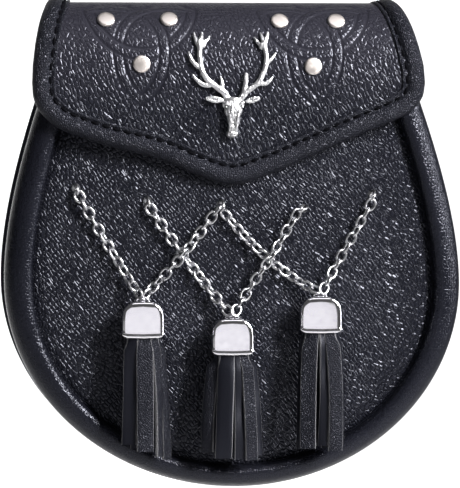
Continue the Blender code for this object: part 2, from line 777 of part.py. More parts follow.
def add_tassel_fringe(name, x, bottom_z, drop, flip):
    """Cut leather strips, fused to an oval head that sits inside the cap."""
    skin = leather("fringe_leather", 0.5)
    frame = Matrix.Translation((x, cap_centre_y(x, bottom_z), bottom_z))
    head_half = CAP_HALF_WIDTH - CAP_WALL - FRINGE_HEAD_CLEARANCE
    head = bmesh.new()
    profile = [(head_half * radius, CAP_HEIGHT * height) for radius, height in FRINGE_HEAD_PROFILE]
    turned(head, profile, CAP_SIDES, frame, CAP_DEPTH_RATIO)
    fringe = finish(name, head, skin)
    strips = []
    for head_x, head_y, spread_x, spread_y, width, turn, length in STRIPS:
        across = Matrix.Rotation(math.radians(turn) * flip, 3, "Z")
        loops = []
        for step in range(STRIP_STEPS + 1):
            share = step / STRIP_STEPS
            fall = STRIP_START - (drop * length + STRIP_START) * share
            ease = math.sin(share * math.pi / 2)
            centre = Vector((
                flip * (head_x + (spread_x - head_x) * ease) * head_half,
                (head_y + (spread_y - head_y) * ease) * head_half * CAP_DEPTH_RATIO,
                fall))
            loop = []
            for side_x_way, side_y_way in ((-1, -1), (1, -1), (1, 1), (-1, 1)):
                corner = Vector((side_x_way * width / 2, side_y_way * STRIP_THICK / 2, 0.0))
                loop.append(frame @ (centre + across @ corner))
            loops.append(loop)
        strip = bmesh.new()
        loft(strip, loops)
        strips.append(finish("strip", strip, skin))
    return combine(fringe, strips, "UNION")


# ---- Hidden fastenings --------------------------------------------------------------------

def add_belt_loop(name, centre_x):
    """A leather strap sewn down at both ends, with room for a belt behind its middle."""
    upper = [(BACK_Y + behind, z) for behind, z in BELT_LOOP_OUTSIDE]
    upper += [(BACK_Y + behind, z) for behind, z in reversed(BELT_LOOP_INSIDE)]
    section = upper + [(y, -z) for y, z in reversed(upper)]
    loops = []
    for side in (-0.5, 0.5):
        loops.append([(centre_x + side * BELT_LOOP_WIDTH, y, z) for y, z in section])
    mesh_builder = bmesh.new()
    loft(mesh_builder, loops)
    return finish(name, mesh_builder, leather("loop_leather", 0.5))


def add_closure_stud():
    """The plain press stud under the flap."""
    frame = Matrix.Translation((0.0, panel_front_y(0.0, CLOSURE_Z) - GAP, CLOSURE_Z))
    frame = frame @ Matrix.Rotation(math.pi / 2, 4, "X")
    mesh_builder = bmesh.new()
    turned(mesh_builder, CLOSURE_PROFILE, 14, frame)
    return finish("closure_stud", mesh_builder, silver("closure_metal", 0.35))


def main():
    for old in list(bpy.data.objects):
        bpy.data.objects.remove(old)
    add_back_panel()
    add_gusset()
    add_front_panel()
    add_flap()
    add_flap_binding()
    for number, (x, z) in enumerate(STUDS, start=1):
        add_stud(f"stud_{number}", x, z)
    add_stag_emblem()
    for number, route in enumerate(CHAINS, start=1):
        add_chain(f"chain_{number}", route)
    for number, (x, z) in enumerate(HOLES, start=1):
        add_chain_anchor(f"chain_anchor_{number}", x, z)
    for number, (x, bottom_z, drop, flip) in enumerate(TASSELS, start=1):
        add_tassel_cap(f"tassel_cap_{number}", x, bottom_z)
        add_tassel_fringe(f"tassel_fringe_{number}", x, bottom_z, drop, flip)
    add_belt_loop("belt_loop_left", -BELT_LOOP_X)
    add_belt_loop("belt_loop_right", BELT_LOOP_X)
    add_closure_stud()


main()
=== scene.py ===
# %% [markdown]
# # A leather sporran pouch
# A sporran is the pouch that hangs in front of a kilt. This one is a round-bottomed box of
# black leather: a flat back, a side wall that runs round the edge, a domed front panel set
# inside a padded roll, and a flap that folds over the top. Six thin chains and three leather
# tassels decorate the front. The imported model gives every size; this script dresses it.

# %% Load the fixed frame
import math

import bmesh
import bpy
import numpy as np
from mathutils import Matrix, Vector, noise


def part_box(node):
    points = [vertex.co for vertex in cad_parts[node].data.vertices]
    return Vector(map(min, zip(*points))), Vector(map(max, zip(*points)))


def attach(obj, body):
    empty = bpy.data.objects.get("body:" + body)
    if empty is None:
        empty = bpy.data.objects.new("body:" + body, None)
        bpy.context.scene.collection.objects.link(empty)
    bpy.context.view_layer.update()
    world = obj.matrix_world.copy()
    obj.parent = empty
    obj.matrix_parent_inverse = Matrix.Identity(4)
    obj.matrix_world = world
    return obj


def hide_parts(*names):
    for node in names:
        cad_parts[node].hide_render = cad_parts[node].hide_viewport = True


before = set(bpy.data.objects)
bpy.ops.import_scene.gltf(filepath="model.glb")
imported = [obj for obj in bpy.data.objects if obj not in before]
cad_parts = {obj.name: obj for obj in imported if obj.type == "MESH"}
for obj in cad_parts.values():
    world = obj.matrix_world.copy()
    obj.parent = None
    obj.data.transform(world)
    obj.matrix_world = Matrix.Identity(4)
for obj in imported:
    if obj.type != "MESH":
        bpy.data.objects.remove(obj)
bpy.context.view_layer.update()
MM = 0.001
BODY = "root"
print("frame nodes:", len(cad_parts))


def in_metres(*rows):
    """A table whose numbers are given in millimetres."""
    return tuple(tuple(value * MM for value in row) for row in rows)


# %% [markdown]
# ## Sizes read from the frame
# Nothing here is measured twice. The pouch's width, its depth and its fold come from the boxes
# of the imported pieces, so the dressed pieces land where the solids are.

# %% Sizes of the pouch and its flap
roll_low, roll_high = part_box("gusset")
back_low, back_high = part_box("back_panel")
panel_low, panel_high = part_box("front_panel")
flap_low, flap_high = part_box("flap")

HALF_WIDTH = (roll_high.x - roll_low.x) / 2
WIDEST_Z = -82.7 * MM
BOTTOM_DROP = WIDEST_Z - roll_low.z
MIDDLE_X = (roll_high.x + roll_low.x) / 2
MIDDLE_LEAN = 0.015  # the body's middle line moves right on its way down
TAPER = 0.515  # how fast the sides close in towards the mouth
TAPER_EASE = 110.0 * MM  # the length over which that taper sets in
ROLL_SIDE = 12.0 * MM  # width of the padded roll at the sides
ROLL_BOTTOM = 9.4 * MM
ROLL_FRONT_Y = roll_low.y
GUSSET_TOP_Z = roll_high.z
PANEL_EDGE_Y = -36.6 * MM  # depth of the front panel's seam
PANEL_DOME = PANEL_EDGE_Y - panel_low.y
PANEL_TOP_Z = panel_high.z
PANEL_THICK = 2.0 * MM
PANEL_HALF_WIDTH = HALF_WIDTH - ROLL_SIDE
PANEL_DROP = BOTTOM_DROP - ROLL_BOTTOM
MOUTH_NARROWS = 5.8 * MM  # the pouch is this much thinner at its mouth
GAP = 0.3 * MM

FLAP_THICK = 2.0 * MM
FLAP_FRONT_Y = flap_low.y
FLAP_LEAN = 0.9 * MM
TIP_Z = flap_low.z
FOLD_TOP_Z = flap_high.z
FOLD_Y = -23.0 * MM
REAR_FACE_Y = flap_high.y
REAR_BEND_Z = 24.0 * MM
REAR_END_Z = 18.8 * MM
FRONT_BEND_RADIUS = 28.0 * MM
REAR_BEND_RADIUS = 14.0 * MM
FRONT_RUN = FRONT_BEND_RADIUS * math.pi / 2
REAR_RUN = REAR_BEND_RADIUS * math.pi / 2
END_RUN = FRONT_RUN + REAR_RUN + REAR_BEND_Z - REAR_END_Z
print("pouch half width %.1f mm, flap tip at %.1f mm" % (HALF_WIDTH / MM, TIP_Z / MM))

# %% [markdown]
# ## The pattern
# A leather worker cuts a pouch from a paper pattern. The functions here are that pattern: the
# outline, the dome of the front panel, and the way the flap runs up the front, over the fold
# and down the back. Every piece, stitch and tooled line is placed through them.

# %% The outline and the front panel's dome
def taper(z):
    rise = z - WIDEST_Z
    return TAPER * rise ** 2 / (rise + TAPER_EASE)


def middle_x(z):
    return MIDDLE_X + MIDDLE_LEAN * (WIDEST_Z - z)


def outline(side_inset, bottom_inset, top_z, side_steps, bottom_steps):
    """Points (x, z) of the outline moved inwards, from the top left round to the top right."""
    half = HALF_WIDTH - side_inset
    drop = BOTTOM_DROP - bottom_inset
    side = []
    for step in range(side_steps):
        z = top_z + (WIDEST_Z - top_z) * step / side_steps
        side.append((half - taper(z), z))
    bottom = []
    for step in range(bottom_steps + 1):
        angle = math.pi * step / bottom_steps
        bottom.append((half * math.cos(angle), WIDEST_Z - drop * math.sin(angle)))
    left = [(middle_x(z) - reach, z) for reach, z in side + bottom]
    return left + [(middle_x(z) + reach, z) for reach, z in reversed(side)]


def mouth_shift(z):
    """How far the front of the pouch has moved back at this height."""
    return MOUTH_NARROWS * (max(z, 0.0) / GUSSET_TOP_Z) ** 2


def seam_distance(x, z):
    """Rough distance in from the front panel's seam."""
    across = x - middle_x(z)
    if z > WIDEST_Z:
        return PANEL_HALF_WIDTH - taper(z) - abs(across)
    from_middle = math.hypot(across / PANEL_HALF_WIDTH, (WIDEST_Z - z) / PANEL_DROP)
    return (1 - from_middle) * (PANEL_HALF_WIDTH + PANEL_DROP) / 2


def panel_front_y(x, z):
    """Depth of the front panel's domed face."""
    across = x - middle_x(z)
    if z > WIDEST_Z:
        dome = 1 - (across / (PANEL_HALF_WIDTH - taper(z))) ** 2
    else:
        dome = 1 - (across / PANEL_HALF_WIDTH) ** 2 - ((WIDEST_Z - z) / PANEL_DROP) ** 2
    return PANEL_EDGE_Y - PANEL_DOME * max(dome, 0.0) + mouth_shift(z)


print("panel half width %.1f mm, its dome %.1f mm" % (PANEL_HALF_WIDTH / MM, PANEL_DOME / MM))

# %% The flap's path over the fold
def flap_point(x, run, depth):
    """A point of the flap. run goes up the front, over the fold and down the back."""
    if run <= 0.0:
        return Vector((x, FLAP_FRONT_Y + FLAP_LEAN * (run / TIP_Z) ** 2 + depth, run))
    if run <= FRONT_RUN:
        turn = run / FRONT_BEND_RADIUS
        reach = FOLD_Y - FLAP_FRONT_Y
        face = Vector((x, FOLD_Y - reach * math.cos(turn), FOLD_TOP_Z * math.sin(turn)))
        normal = Vector((0.0, -FOLD_TOP_Z * math.cos(turn), reach * math.sin(turn)))
    elif run <= FRONT_RUN + REAR_RUN:
        turn = (run - FRONT_RUN) / REAR_BEND_RADIUS
        reach = REAR_FACE_Y - FOLD_Y
        height = FOLD_TOP_Z - REAR_BEND_Z
        face = Vector((x, FOLD_Y + reach * math.sin(turn), REAR_BEND_Z + height * math.cos(turn)))
        normal = Vector((0.0, height * math.sin(turn), reach * math.cos(turn)))
    else:
        down = run - FRONT_RUN - REAR_RUN
        face = Vector((x, REAR_FACE_Y, REAR_BEND_Z - down))
        normal = Vector((0.0, 1.0, 0.0))
    return face - normal.normalized() * depth


def run_at_height(z):
    """The run at which the front of the flap is at this height."""
    return z if z <= 0.0 else FRONT_BEND_RADIUS * math.asin(min(z / FOLD_TOP_Z, 1.0))


print("the flap runs %.0f mm from its bend over the fold" % (END_RUN / MM))

# %% The flap's edges
# Side edges of the flap by the run up the flap from the line where its bend begins.
FLAP_SIDES = in_metres(
    # run, left x, right x
    (0.0, -81.4, 79.0), (6.0, -81.1, 78.5), (14.0, -80.0, 76.5), (23.0, -78.3, 74.1),
    (33.0, -76.0, 71.4), (44.0, -74.3, 69.0), (72.0, -73.2, 68.2),
)
LEFT = 1  # columns of that table
RIGHT = 2
# Lower edge of the flap, from its left side round both corners and the tip to the right.
FLAP_EDGE = in_metres(
    # x, z
    (-81.4, 0.0), (-80.7, -6.5), (-77.6, -12.0), (-69.5, -18.3), (-51.4, -24.6),
    (-30.3, -30.0), (-14.5, -36.6), (0.2, TIP_Z / MM), (14.5, -36.4), (28.3, -30.7),
    (47.0, -22.4), (63.0, -15.8), (72.6, -11.2), (77.7, -5.8), (79.0, 0.0),
)
FLAP_EDGE_LENGTH = 190 * MM  # rough length of that lower edge


def smooth_curve(points, steps):
    """Points on a Catmull-Rom curve through the given ones, evenly spread over the spans."""
    vectors = [Vector(point) for point in points]
    ends = [vectors[0] * 2 - vectors[1], *vectors, vectors[-1] * 2 - vectors[-2]]
    spans = len(vectors) - 1
    curve = []
    for step in range(steps + 1):
        along = min(step / steps * spans, spans - 1e-9)  # the last point ends the last span
        span = int(along)
        t = along - span
        a, b, c, d = ends[span:span + 4]
        curve.append(((b * 2) + (c - a) * t + (a * 2 - b * 5 + c * 4 - d) * t ** 2
                      + (b * 3 - a - c * 3 + d) * t ** 3) / 2)
    return curve


def smooth_pairs(pairs, steps):
    """The same curve through a table of pairs."""
    return [(point.x, point.y) for point in smooth_curve([(*pair, 0.0) for pair in pairs], steps)]


def refined(pairs, steps_each):
    """The same with this many steps from each pair to the next."""
    return smooth_pairs(pairs, steps_each * (len(pairs) - 1))


def side_x(column, run):
    """One side edge of the flap at this run, read from its table."""
    runs = [row[0] for row in FLAP_SIDES]
    places = [row[column] for row in FLAP_SIDES]
    return float(np.interp(run, runs, places))


def flap_rim(step_length, top_run):
    """The free edge of the flap as (x, run), from its left top round the tip to its right top."""
    rows = max(int(top_run / step_length), 2)
    runs_down = [top_run * (1 - row / rows) for row in range(rows)]
    runs_up = [top_run * (row + 1) / rows for row in range(rows)]
    left = [(side_x(LEFT, run), run) for run in runs_down]
    right = [(side_x(RIGHT, run), run) for run in runs_up]
    return left + smooth_pairs(FLAP_EDGE, int(FLAP_EDGE_LENGTH / step_length)) + right


print("flap edge points:", len(FLAP_EDGE))

# %% [markdown]
# ## Helpers that make meshes
# Most pieces are either a section swept along a path, or a sheet with two faces and a rim.
# Both are plain grids of points, so two small functions build them all. A grid is easy to
# shade smoothly and easy to press a pattern into.

# %% Mesh helpers
MERGE_DISTANCE = 0.001 * MM


def add_object(name, data):
    """Put a mesh, a lamp or a camera into the scene."""
    thing = bpy.data.objects.new(name, data)
    bpy.context.collection.objects.link(thing)
    return thing


def add_piece(name, builder, skin, crease=38.0):
    """Turn a bmesh into a named object with outward faces and smooth shading."""
    bmesh.ops.remove_doubles(builder, verts=builder.verts, dist=MERGE_DISTANCE)
    bmesh.ops.recalc_face_normals(builder, faces=builder.faces)
    mesh = bpy.data.meshes.new(name)
    builder.to_mesh(mesh)
    builder.free()
    mesh.materials.append(skin)
    mesh.shade_smooth()
    mesh.set_sharp_from_angle(angle=math.radians(crease))
    return add_object(name, mesh)


def dress(piece, slot, *nodes):
    """Tell the frame what a piece rides on, and hide the solids it stands for. The slot is not
    used.
    """
    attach(piece, BODY)
    if nodes:
        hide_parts(*nodes)
    triangles = sum(len(face.vertices) - 2 for face in piece.data.polygons)
    print("%s: %d triangles" % (piece.name, triangles))
    return piece


print("points closer than %.3f mm are merged" % (MERGE_DISTANCE / MM))


# %% Rings, lofts and sheets
def circle(steps):
    """Cosine and sine of even angles, once round."""
    angles = [2 * math.pi * step / steps for step in range(steps)]
    return [(math.cos(angle), math.sin(angle)) for angle in angles]


def loft(builder, loops, capped=True):
    """Skin a row of closed loops that have the same number of points."""
    rings = [[builder.verts.new(point) for point in loop] for loop in loops]
    for near, far in zip(rings, rings[1:]):
        for corners in zip(near, near[1:] + near[:1], far[1:] + far[:1], far):
            builder.faces.new(corners)
    if capped:
        builder.faces.new(rings[0])
        builder.faces.new(rings[-1])


def lofted(name, loops, skin, crease=38.0):
    """A piece skinned over a row of closed loops."""
    builder = bmesh.new()
    loft(builder, loops)
    return add_piece(name, builder, skin, crease)


def sheet(builder, rows, front_of, back_of):
    """A closed sheet over a grid of (a, b) pairs, with a front point and a back point for each."""
    front = [[builder.verts.new(front_of(a, b)) for a, b in row] for row in rows]
    back = [[builder.verts.new(back_of(a, b)) for a, b in row] for row in rows]
    last_row = len(rows) - 1
    last_column = len(rows[0]) - 1
    for i in range(last_row):
        for j in range(last_column):
            for layer in (front, back):
                corners = layer[i][j], layer[i][j + 1], layer[i + 1][j + 1], layer[i + 1][j]
                builder.faces.new(corners)
    rim = [(0, j) for j in range(last_column)]
    rim += [(i, last_column) for i in range(last_row)]
    rim += [(last_row, j) for j in range(last_column, 0, -1)]
    rim += [(i, 0) for i in range(last_row, 0, -1)]
    for (i, j), (k, m) in zip(rim, rim[1:] + rim[:1]):
        builder.faces.new((front[i][j], front[k][m], back[k][m], back[i][j]))


print("lofts and sheets ready")


# %% Modifiers made permanent
def apply_modifiers(piece):
    """Turn a piece and its modifiers into a plain mesh."""
    bpy.context.view_layer.update()
    shown = piece.evaluated_get(bpy.context.evaluated_depsgraph_get())
    mesh = bpy.data.meshes.new_from_object(shown)
    piece.modifiers.clear()
    piece.data = mesh
    return piece


def combine(target, others, operation):
    """Cut the other pieces out of the target, or fuse them to it, and delete them."""
    for other in others:
        step = target.modifiers.new(other.name, "BOOLEAN")
        step.operation = operation
        step.solver = "EXACT"
        step.object = other
    apply_modifiers(target)
    for other in others:
        bpy.data.objects.remove(other)
    return target


print("modifiers can be applied")


# %% [markdown]
# ## Shader maths as Python
# A leather shader is mostly sums: a pebble height, plus creases, plus pores. Blender's nodes
# can do them, but a page of node calls hides the idea. A small class wraps one output socket
# and overloads the operators, so the recipe below reads like the sum that it is.

# %% A socket that can be added, scaled and compared
def fill(made, sockets):
    """Give a node's inputs their links or their plain values."""
    for key, value in sockets.items():
        if isinstance(value, Signal):
            value.tree.links.new(value.socket, made.inputs[key])
        else:
            made.inputs[key].default_value = value


class Signal:
    """One output of a node tree, used like a number in an expression."""

    def __init__(self, tree, socket):
        self.tree = tree
        self.socket = socket

    def node(self, kind, sockets, output=0, stops=(), **settings):
        """Any other node in the same tree: its settings first, then values or links."""
        made = self.tree.nodes.new(kind)
        for name, value in settings.items():
            setattr(made, name, value)
        if stops:
            ramp = made.color_ramp.elements
            while len(ramp) < len(stops):
                ramp.new(0.5)
            for element, (place, shade) in zip(ramp, stops):
                element.position = place
                element.color = (shade, shade, shade, 1.0)
        fill(made, sockets)
        return Signal(self.tree, made.outputs[output])

    def maths(self, operation, *others):
        return self.node("ShaderNodeMath", dict(enumerate((self, *others))), operation=operation)

    def __add__(self, other):
        return self.maths("ADD", other)

    __radd__ = __add__

    def __mul__(self, other):
        return self.maths("MULTIPLY", other)

    __rmul__ = __mul__

    def __sub__(self, other):
        return self.maths("SUBTRACT", other)

    def __rsub__(self, other):
        return (self * -1.0) + other

    def vector_maths(self, operation, sockets):
        return self.node("ShaderNodeVectorMath", {0: self, **sockets}, operation=operation)

    def mapped(self, **settings):
        """The place that this signal holds, turned or scaled."""
        return self.node("ShaderNodeMapping", {"Vector": self, **settings})

    def noise(self, scale, detail, output=0):
        """Noise over the place that this signal holds. Scale is in waves per metre."""
        sockets = {"Vector": self, "Scale": scale, "Detail": detail}
        return self.node("ShaderNodeTexNoise", sockets, output=output)

    def cells(self, **settings):
        """Distance to the edges of rounded cells over the place that this signal holds."""
        sockets = {"Vector": self, **settings}
        return self.node("ShaderNodeTexVoronoi", sockets, feature="DISTANCE_TO_EDGE")

    def painted(self, name):
        """A mask that the mesh carries as an attribute."""
        return self.node("ShaderNodeAttribute", {}, attribute_name=name, output="Fac")

    def ramp(self, *stops):
        """Reshape a 0 to 1 signal through grey stops of (place, shade)."""
        return self.node("ShaderNodeValToRGB", {0: self}, stops=stops)

    def blend(self, low, high):
        """Mix two colours, or two signals that hold colours, by this signal."""
        return self.node("ShaderNodeMix", {0: self, 6: low, 7: high}, output=2, data_type="RGBA")


print("signals ready")


# %% New skins
def new_skin(name):
    """A material with its shader node and its object coordinates."""
    skin = bpy.data.materials.new(name)
    skin.use_nodes = True
    tree = skin.node_tree
    shader = tree.nodes["Principled BSDF"]
    place = tree.nodes.new("ShaderNodeTexCoord")
    return skin, shader, Signal(tree, place.outputs["Object"])


def relief(height, depth=1.0):
    """Normals pressed in by a height signal. depth is the height of 1.0 in metres."""
    return height.node("ShaderNodeBump", {"Height": height, "Distance": depth, "Strength": 1.0})


print("skins and relief ready")


# %% [markdown]
# ## Black leather
# All the leather is one hide dyed near black with a cold cast, finished in different ways. The
# panel and the flap are pebbled, and the pebbles are pulled long on the slant, as grain is when
# the hide is stretched. The binding has a finer grain. The roll's grain is shallow, because the
# hide is drawn tight over its filling. The top of the flap is smoother, and its colour is painted
# a little greyer there as a painted sheen of the light from above. The creases between pebbles
# are painted darker than the crowns as painted shade, and the crowns are paler in random
# patches, as wear. One recipe makes them all from a few numbers: the pebble's size, how far it
# is pulled and how deep the creases between pebbles are.

# %% The leather recipe
BLACK_HIDE = (0.0043, 0.0046, 0.0070, 1.0)
# The crowns' tone: paler in random patches as wear, and paler than the dark creases as painted
# shade.
WORN_UNSHADED_CROWN_HIDE = (0.0095, 0.0100, 0.0150, 1.0)
# A grey painted on the top of the flap, as a painted sheen of the light from above.
PAINTED_SHEEN_HIDE = (0.024, 0.0230, 0.031, 1.0)
COLD_SHEEN = (0.84, 0.86, 1.0, 1.0)  # the finish turns what it mirrors a little blue
DRIFT_SCALE = 110.0  # waves per metre in the wander of the pebble rows
WANDER = 0.9  # how far a pebble wanders, as a part of its size
PEBBLE_DISORDER = 0.7
FLANK_SLOPE = 2.7  # how soon a pebble's flank reaches its crown
PORE_SCALE = 2600.0
PATCH_SCALE = 35.0
TOP_GRAIN_LEFT = 0.45  # the part of the grain that is left at the top of the flap; the rest of the fade paints that top greyer, as a painted sheen
TOOLED_PRESS = 0.9  # the part of the grain that a tooled line presses flat
LEATHER_IOR = 1.32


def leather(name, pebble, stretch, crease_depth, roughness, pores=0.012 * MM, slant=0.0,
            smooth_above=None):
    """Pebbled leather: pebble is the size of a pebble across its pull, in metres.

    smooth_above gives two heights between which the pebbles fade and the colour turns greyer
    upwards, a painted sheen of the light from above; such a hide has tooled lines too.
    """
    skin, shader, place = new_skin(name)
    slanted = place.mapped(Rotation=(0.0, math.radians(slant), 0.0))
    drift = place.noise(DRIFT_SCALE, 2.0, output=1)
    drift = drift.vector_maths("SUBTRACT", {1: (0.5, 0.5, 0.5)})
    wander = drift.vector_maths("SCALE", {3: pebble * WANDER})
    warped = slanted.vector_maths("ADD", {1: wander})
    pulled = warped.mapped(Scale=(1 / pebble, 1 / pebble, 1 / (pebble * stretch)))
    edge = pulled.cells(Scale=1.0, Randomness=PEBBLE_DISORDER)
    flank = (edge * FLANK_SLOPE).maths("MINIMUM", 1.0)
    crowned = flank * (2.0 - flank)
    depth = crowned * crease_depth
    patches = place.noise(PATCH_SCALE, 4.0)
    # Painted shade: the creases keep the darkest tone and the crowns are paler; random patches add
    # wear.
    colour = (crowned * patches).blend(BLACK_HIDE, WORN_UNSHADED_CROWN_HIDE)
    if smooth_above:
        height = place.node("ShaderNodeSeparateXYZ", {0: place}, output=2)
        low, high = smooth_above
        sockets = {0: height, 1: low, 2: high, 3: 1.0, 4: TOP_GRAIN_LEFT}
        fade = height.node("ShaderNodeMapRange", sockets)
        depth = depth * fade * (1.0 - place.painted("tooled") * TOOLED_PRESS)
        # Painted sheen: the colour is painted greyer towards the top of the flap, where the light
        # from above falls.
        colour = (1.0 - fade).blend(colour, PAINTED_SHEEN_HIDE)
    fine = place.noise(PORE_SCALE, 3.0)
    fill(shader, {
        "Base Color": colour,
        "Roughness": patches.ramp((0.3, roughness - 0.04), (0.7, roughness + 0.05)),
        "IOR": LEATHER_IOR,
        "Specular Tint": COLD_SHEEN,
        "Normal": relief(depth + fine * pores),
    })
    return skin


panel_leather = leather("panel_leather", 1.4 * MM, 1.7, 0.28 * MM, 0.22, 0.004 * MM, slant=38.0)
flap_leather = leather("flap_leather", 1.6 * MM, 1.6, 0.34 * MM, 0.22, 0.004 * MM, slant=22.0,
                       smooth_above=(-12.0 * MM, 20.0 * MM))
binding_leather = leather("binding_leather", 0.9 * MM, 1.2, 0.22 * MM, 0.32)
roll_leather = leather("roll_leather", 1.0 * MM, 1.3, 0.07 * MM, 0.18, 0.004 * MM)
back_leather = leather("back_leather", 0.8 * MM, 1.2, 0.03 * MM, 0.48)
leathers = (panel_leather, flap_leather, binding_leather, roll_leather, back_leather)
print("leathers:", [skin.name for skin in leathers])

# %% [markdown]
# ## Metal
# The caps are polished, the studs have a satin nickel face, the chain is bright plated wire and
# the emblem is a casting with dark left in its hollows. All are fully metallic; what sets them
# apart is how rough they are and how much tarnish shows.

# %% The metal recipe
TARNISH_SCALE = 400.0
SCRATCH_SCALES = (9000.0, 9000.0, 1200.0)  # waves per metre: scratches run long up and down


def metal(name, bright, dull, roughness, scratches):
    """Plated metal: a bright and a dull tone, mixed in soft patches, with fine scratches."""
    skin, shader, place = new_skin(name)
    patches = place.noise(TARNISH_SCALE, 4.0)
    tone = patches.ramp((0.35, 0.0), (0.65, 1.0))
    lines = place.mapped(Scale=SCRATCH_SCALES).noise(1.0, 2.0)
    fill(shader, {
        "Base Color": tone.blend((*bright, 1.0), (*dull, 1.0)),
        "Roughness": patches.ramp((0.3, roughness * 0.8), (0.7, roughness * 1.3)),
        "Metallic": 1.0,
        "Normal": relief(lines, scratches),
    })
    return skin


nickel = metal("nickel", (0.80, 0.74, 0.71), (0.72, 0.66, 0.63), 0.36, 0.002 * MM)
polished_silver = metal("polished_silver", (0.93, 0.92, 0.95), (0.89, 0.88, 0.92), 0.10,
                        0.0004 * MM)
chain_metal = metal("chain_metal", (0.56, 0.56, 0.58), (0.38, 0.38, 0.40), 0.26, 0.002 * MM)
print("metals:", [skin.name for skin in (nickel, polished_silver, chain_metal)])

# %% [markdown]
# ## Materials that read a painted mask
# Two materials need to know where they are on a piece. The emblem is darker in its hollows,
# where tarnish stays when the high places are rubbed bright. A tassel strip is black on its
# faces and paler along its cut edges, where the undyed middle of the hide shows. The meshes
# carry these masks as attributes, so the shader only has to read them.

# %% Tarnished silver, cut leather and thread
RUBBED_SILVER = (0.66, 0.66, 0.68, 1.0)
TARNISH = (0.04, 0.04, 0.045, 1.0)
RAW_HIDE = (0.24, 0.24, 0.25, 1.0)
BLACK_THREAD = (0.002, 0.002, 0.003, 1.0)


def antique(name):
    skin, shader, place = new_skin(name)
    hollow = place.painted("hollow")
    dark = hollow * (place.noise(900.0, 4.0) + 0.55)
    fill(shader, {
        "Base Color": dark.blend(RUBBED_SILVER, TARNISH),
        "Roughness": hollow.ramp((0.0, 0.38), (0.8, 0.6)),
        "Metallic": 1.0,
        "Normal": relief(place.noise(3500.0, 2.0) * (0.01 * MM)),
    })
    return skin


def cut_leather(name):
    skin, shader, place = new_skin(name)
    raw = place.painted("cut")
    grain = place.cells(Scale=1100.0).ramp((0.0, 0.0), (0.2, 0.7), (0.45, 1.0))
    fibres = place.noise(3000.0, 3.0)
    grain_depth = place.painted("grained") * (0.16 * MM) + 0.03 * MM
    fill(shader, {
        "Base Color": (raw * fibres).blend(BLACK_HIDE, RAW_HIDE),
        "Roughness": raw.ramp((0.0, 0.40), (1.0, 0.85)),
        "IOR": 1.26,
        "Specular Tint": COLD_SHEEN,
        "Normal": relief(grain * grain_depth + fibres * (0.012 * MM)),
    })
    return skin


def thread(name):
    skin, shader, place = new_skin(name)
    ply = place.noise(5000.0, 2.0)
    fill(shader, {
        "Base Color": BLACK_THREAD,
        "Roughness": 0.9,
        "IOR": 1.12,
        "Normal": relief(ply * (0.04 * MM)),
    })
    return skin


antique_silver = antique("antique_silver")
fringe_leather = cut_leather("fringe_leather")
stitch_thread = thread("stitch_thread")
print("masked materials:", antique_silver.name, fringe_leather.name, stitch_thread.name)

# %% [markdown]
# ## The side wall and its padded roll
# The real pouch has one long strip for its side. The strip's front is folded over a cord or a
# strip of foam and stitched to the front panel from inside, so it stands up as a fat roll.
# The stitching pulls a narrow valley between the roll and the panel, which is why the seam
# reads as a dark line. One section, drawn once, is swept along the outline.

# %% Gusset with its roll
# Section points: how far in from the roll's outer edge as a part of its width, and how far
# behind the roll's foremost line in millimetres.
ROLL_SECTION = (
    (0.19, 32.8), (0.165, 27.0), (0.14, 21.0), (0.09, 15.5), (0.02, 11.4), (0.00, 8.2),
    (0.05, 4.9), (0.20, 2.2), (0.42, 0.6), (0.66, 0.0), (0.86, 0.7), (0.945, 2.3),
    (0.97, 4.2), (0.985, 4.6), (1.01, 4.35), (1.03, 5.0), (1.00, 6.2), (0.94, 8.2),
    (0.66, 11.2), (0.38, 14.5), (0.33, 21.0), (0.345, 27.0), (0.36, 32.8),
)
SECTION_DEPTH = ROLL_SECTION[0][1] * MM
ROLL_STEPS = (46, 150)  # points down each side, and round the bottom


def add_gusset():
    outer = outline(0.0, 0.0, GUSSET_TOP_Z, *ROLL_STEPS)
    inner = outline(ROLL_SIDE, ROLL_BOTTOM, GUSSET_TOP_Z, *ROLL_STEPS)
    section = refined([(inward, behind * MM) for inward, behind in ROLL_SECTION], 3)
    loops = []
    for (out_x, out_z), (in_x, in_z) in zip(outer, inner):
        loop = []
        for inward, behind in section:
            x = out_x + (in_x - out_x) * inward
            z = out_z + (in_z - out_z) * inward
            shift = mouth_shift(out_z) * (1 - behind / SECTION_DEPTH)
            loop.append((x, ROLL_FRONT_Y + behind + shift, z))
        loops.append(loop)
    return lofted("gusset_roll", loops, roll_leather)


gusset = dress(add_gusset(), "roll_leather", "gusset")

# %% [markdown]
# ## The back panel
# The back is a flat piece of firm leather, cut a little larger than the pouch. Its edge shows
# past the roll on the left, where the camera looks round the side. The cut edge is rounded
# over and burnished, so it gets a small rounded section rather than a square one.

# %% Back panel
BACK_SECTION = in_metres(
    # outwards past the pattern line, behind the front face
    (-3.0, 0.0), (0.1, 0.0), (0.65, 0.3), (0.9, 0.9), (0.9, 1.5), (0.65, 2.1), (0.1, 2.4),
    (-3.0, 2.4),
)
BACK_STEPS = (30, 110)  # points down each side, and round the bottom


def add_back_panel():
    loops = []
    for outwards, behind in BACK_SECTION:
        edge = outline(-outwards, -outwards, back_high.z, *BACK_STEPS)
        loops.append([(x, back_low.y + behind, z) for x, z in edge])
    return lofted("back_panel_leather", loops, back_leather)


dress(add_back_panel(), "back_leather", "back_panel")

# %% [markdown]
# ## The front panel
# The panel is a separate piece of heavily grained hide. It is pulled over the filled pouch, so
# it bulges in the middle and dips sharply into the seam at the edge. Five small holes let the
# chains through; a punch leaves a slightly sunken rim round each.

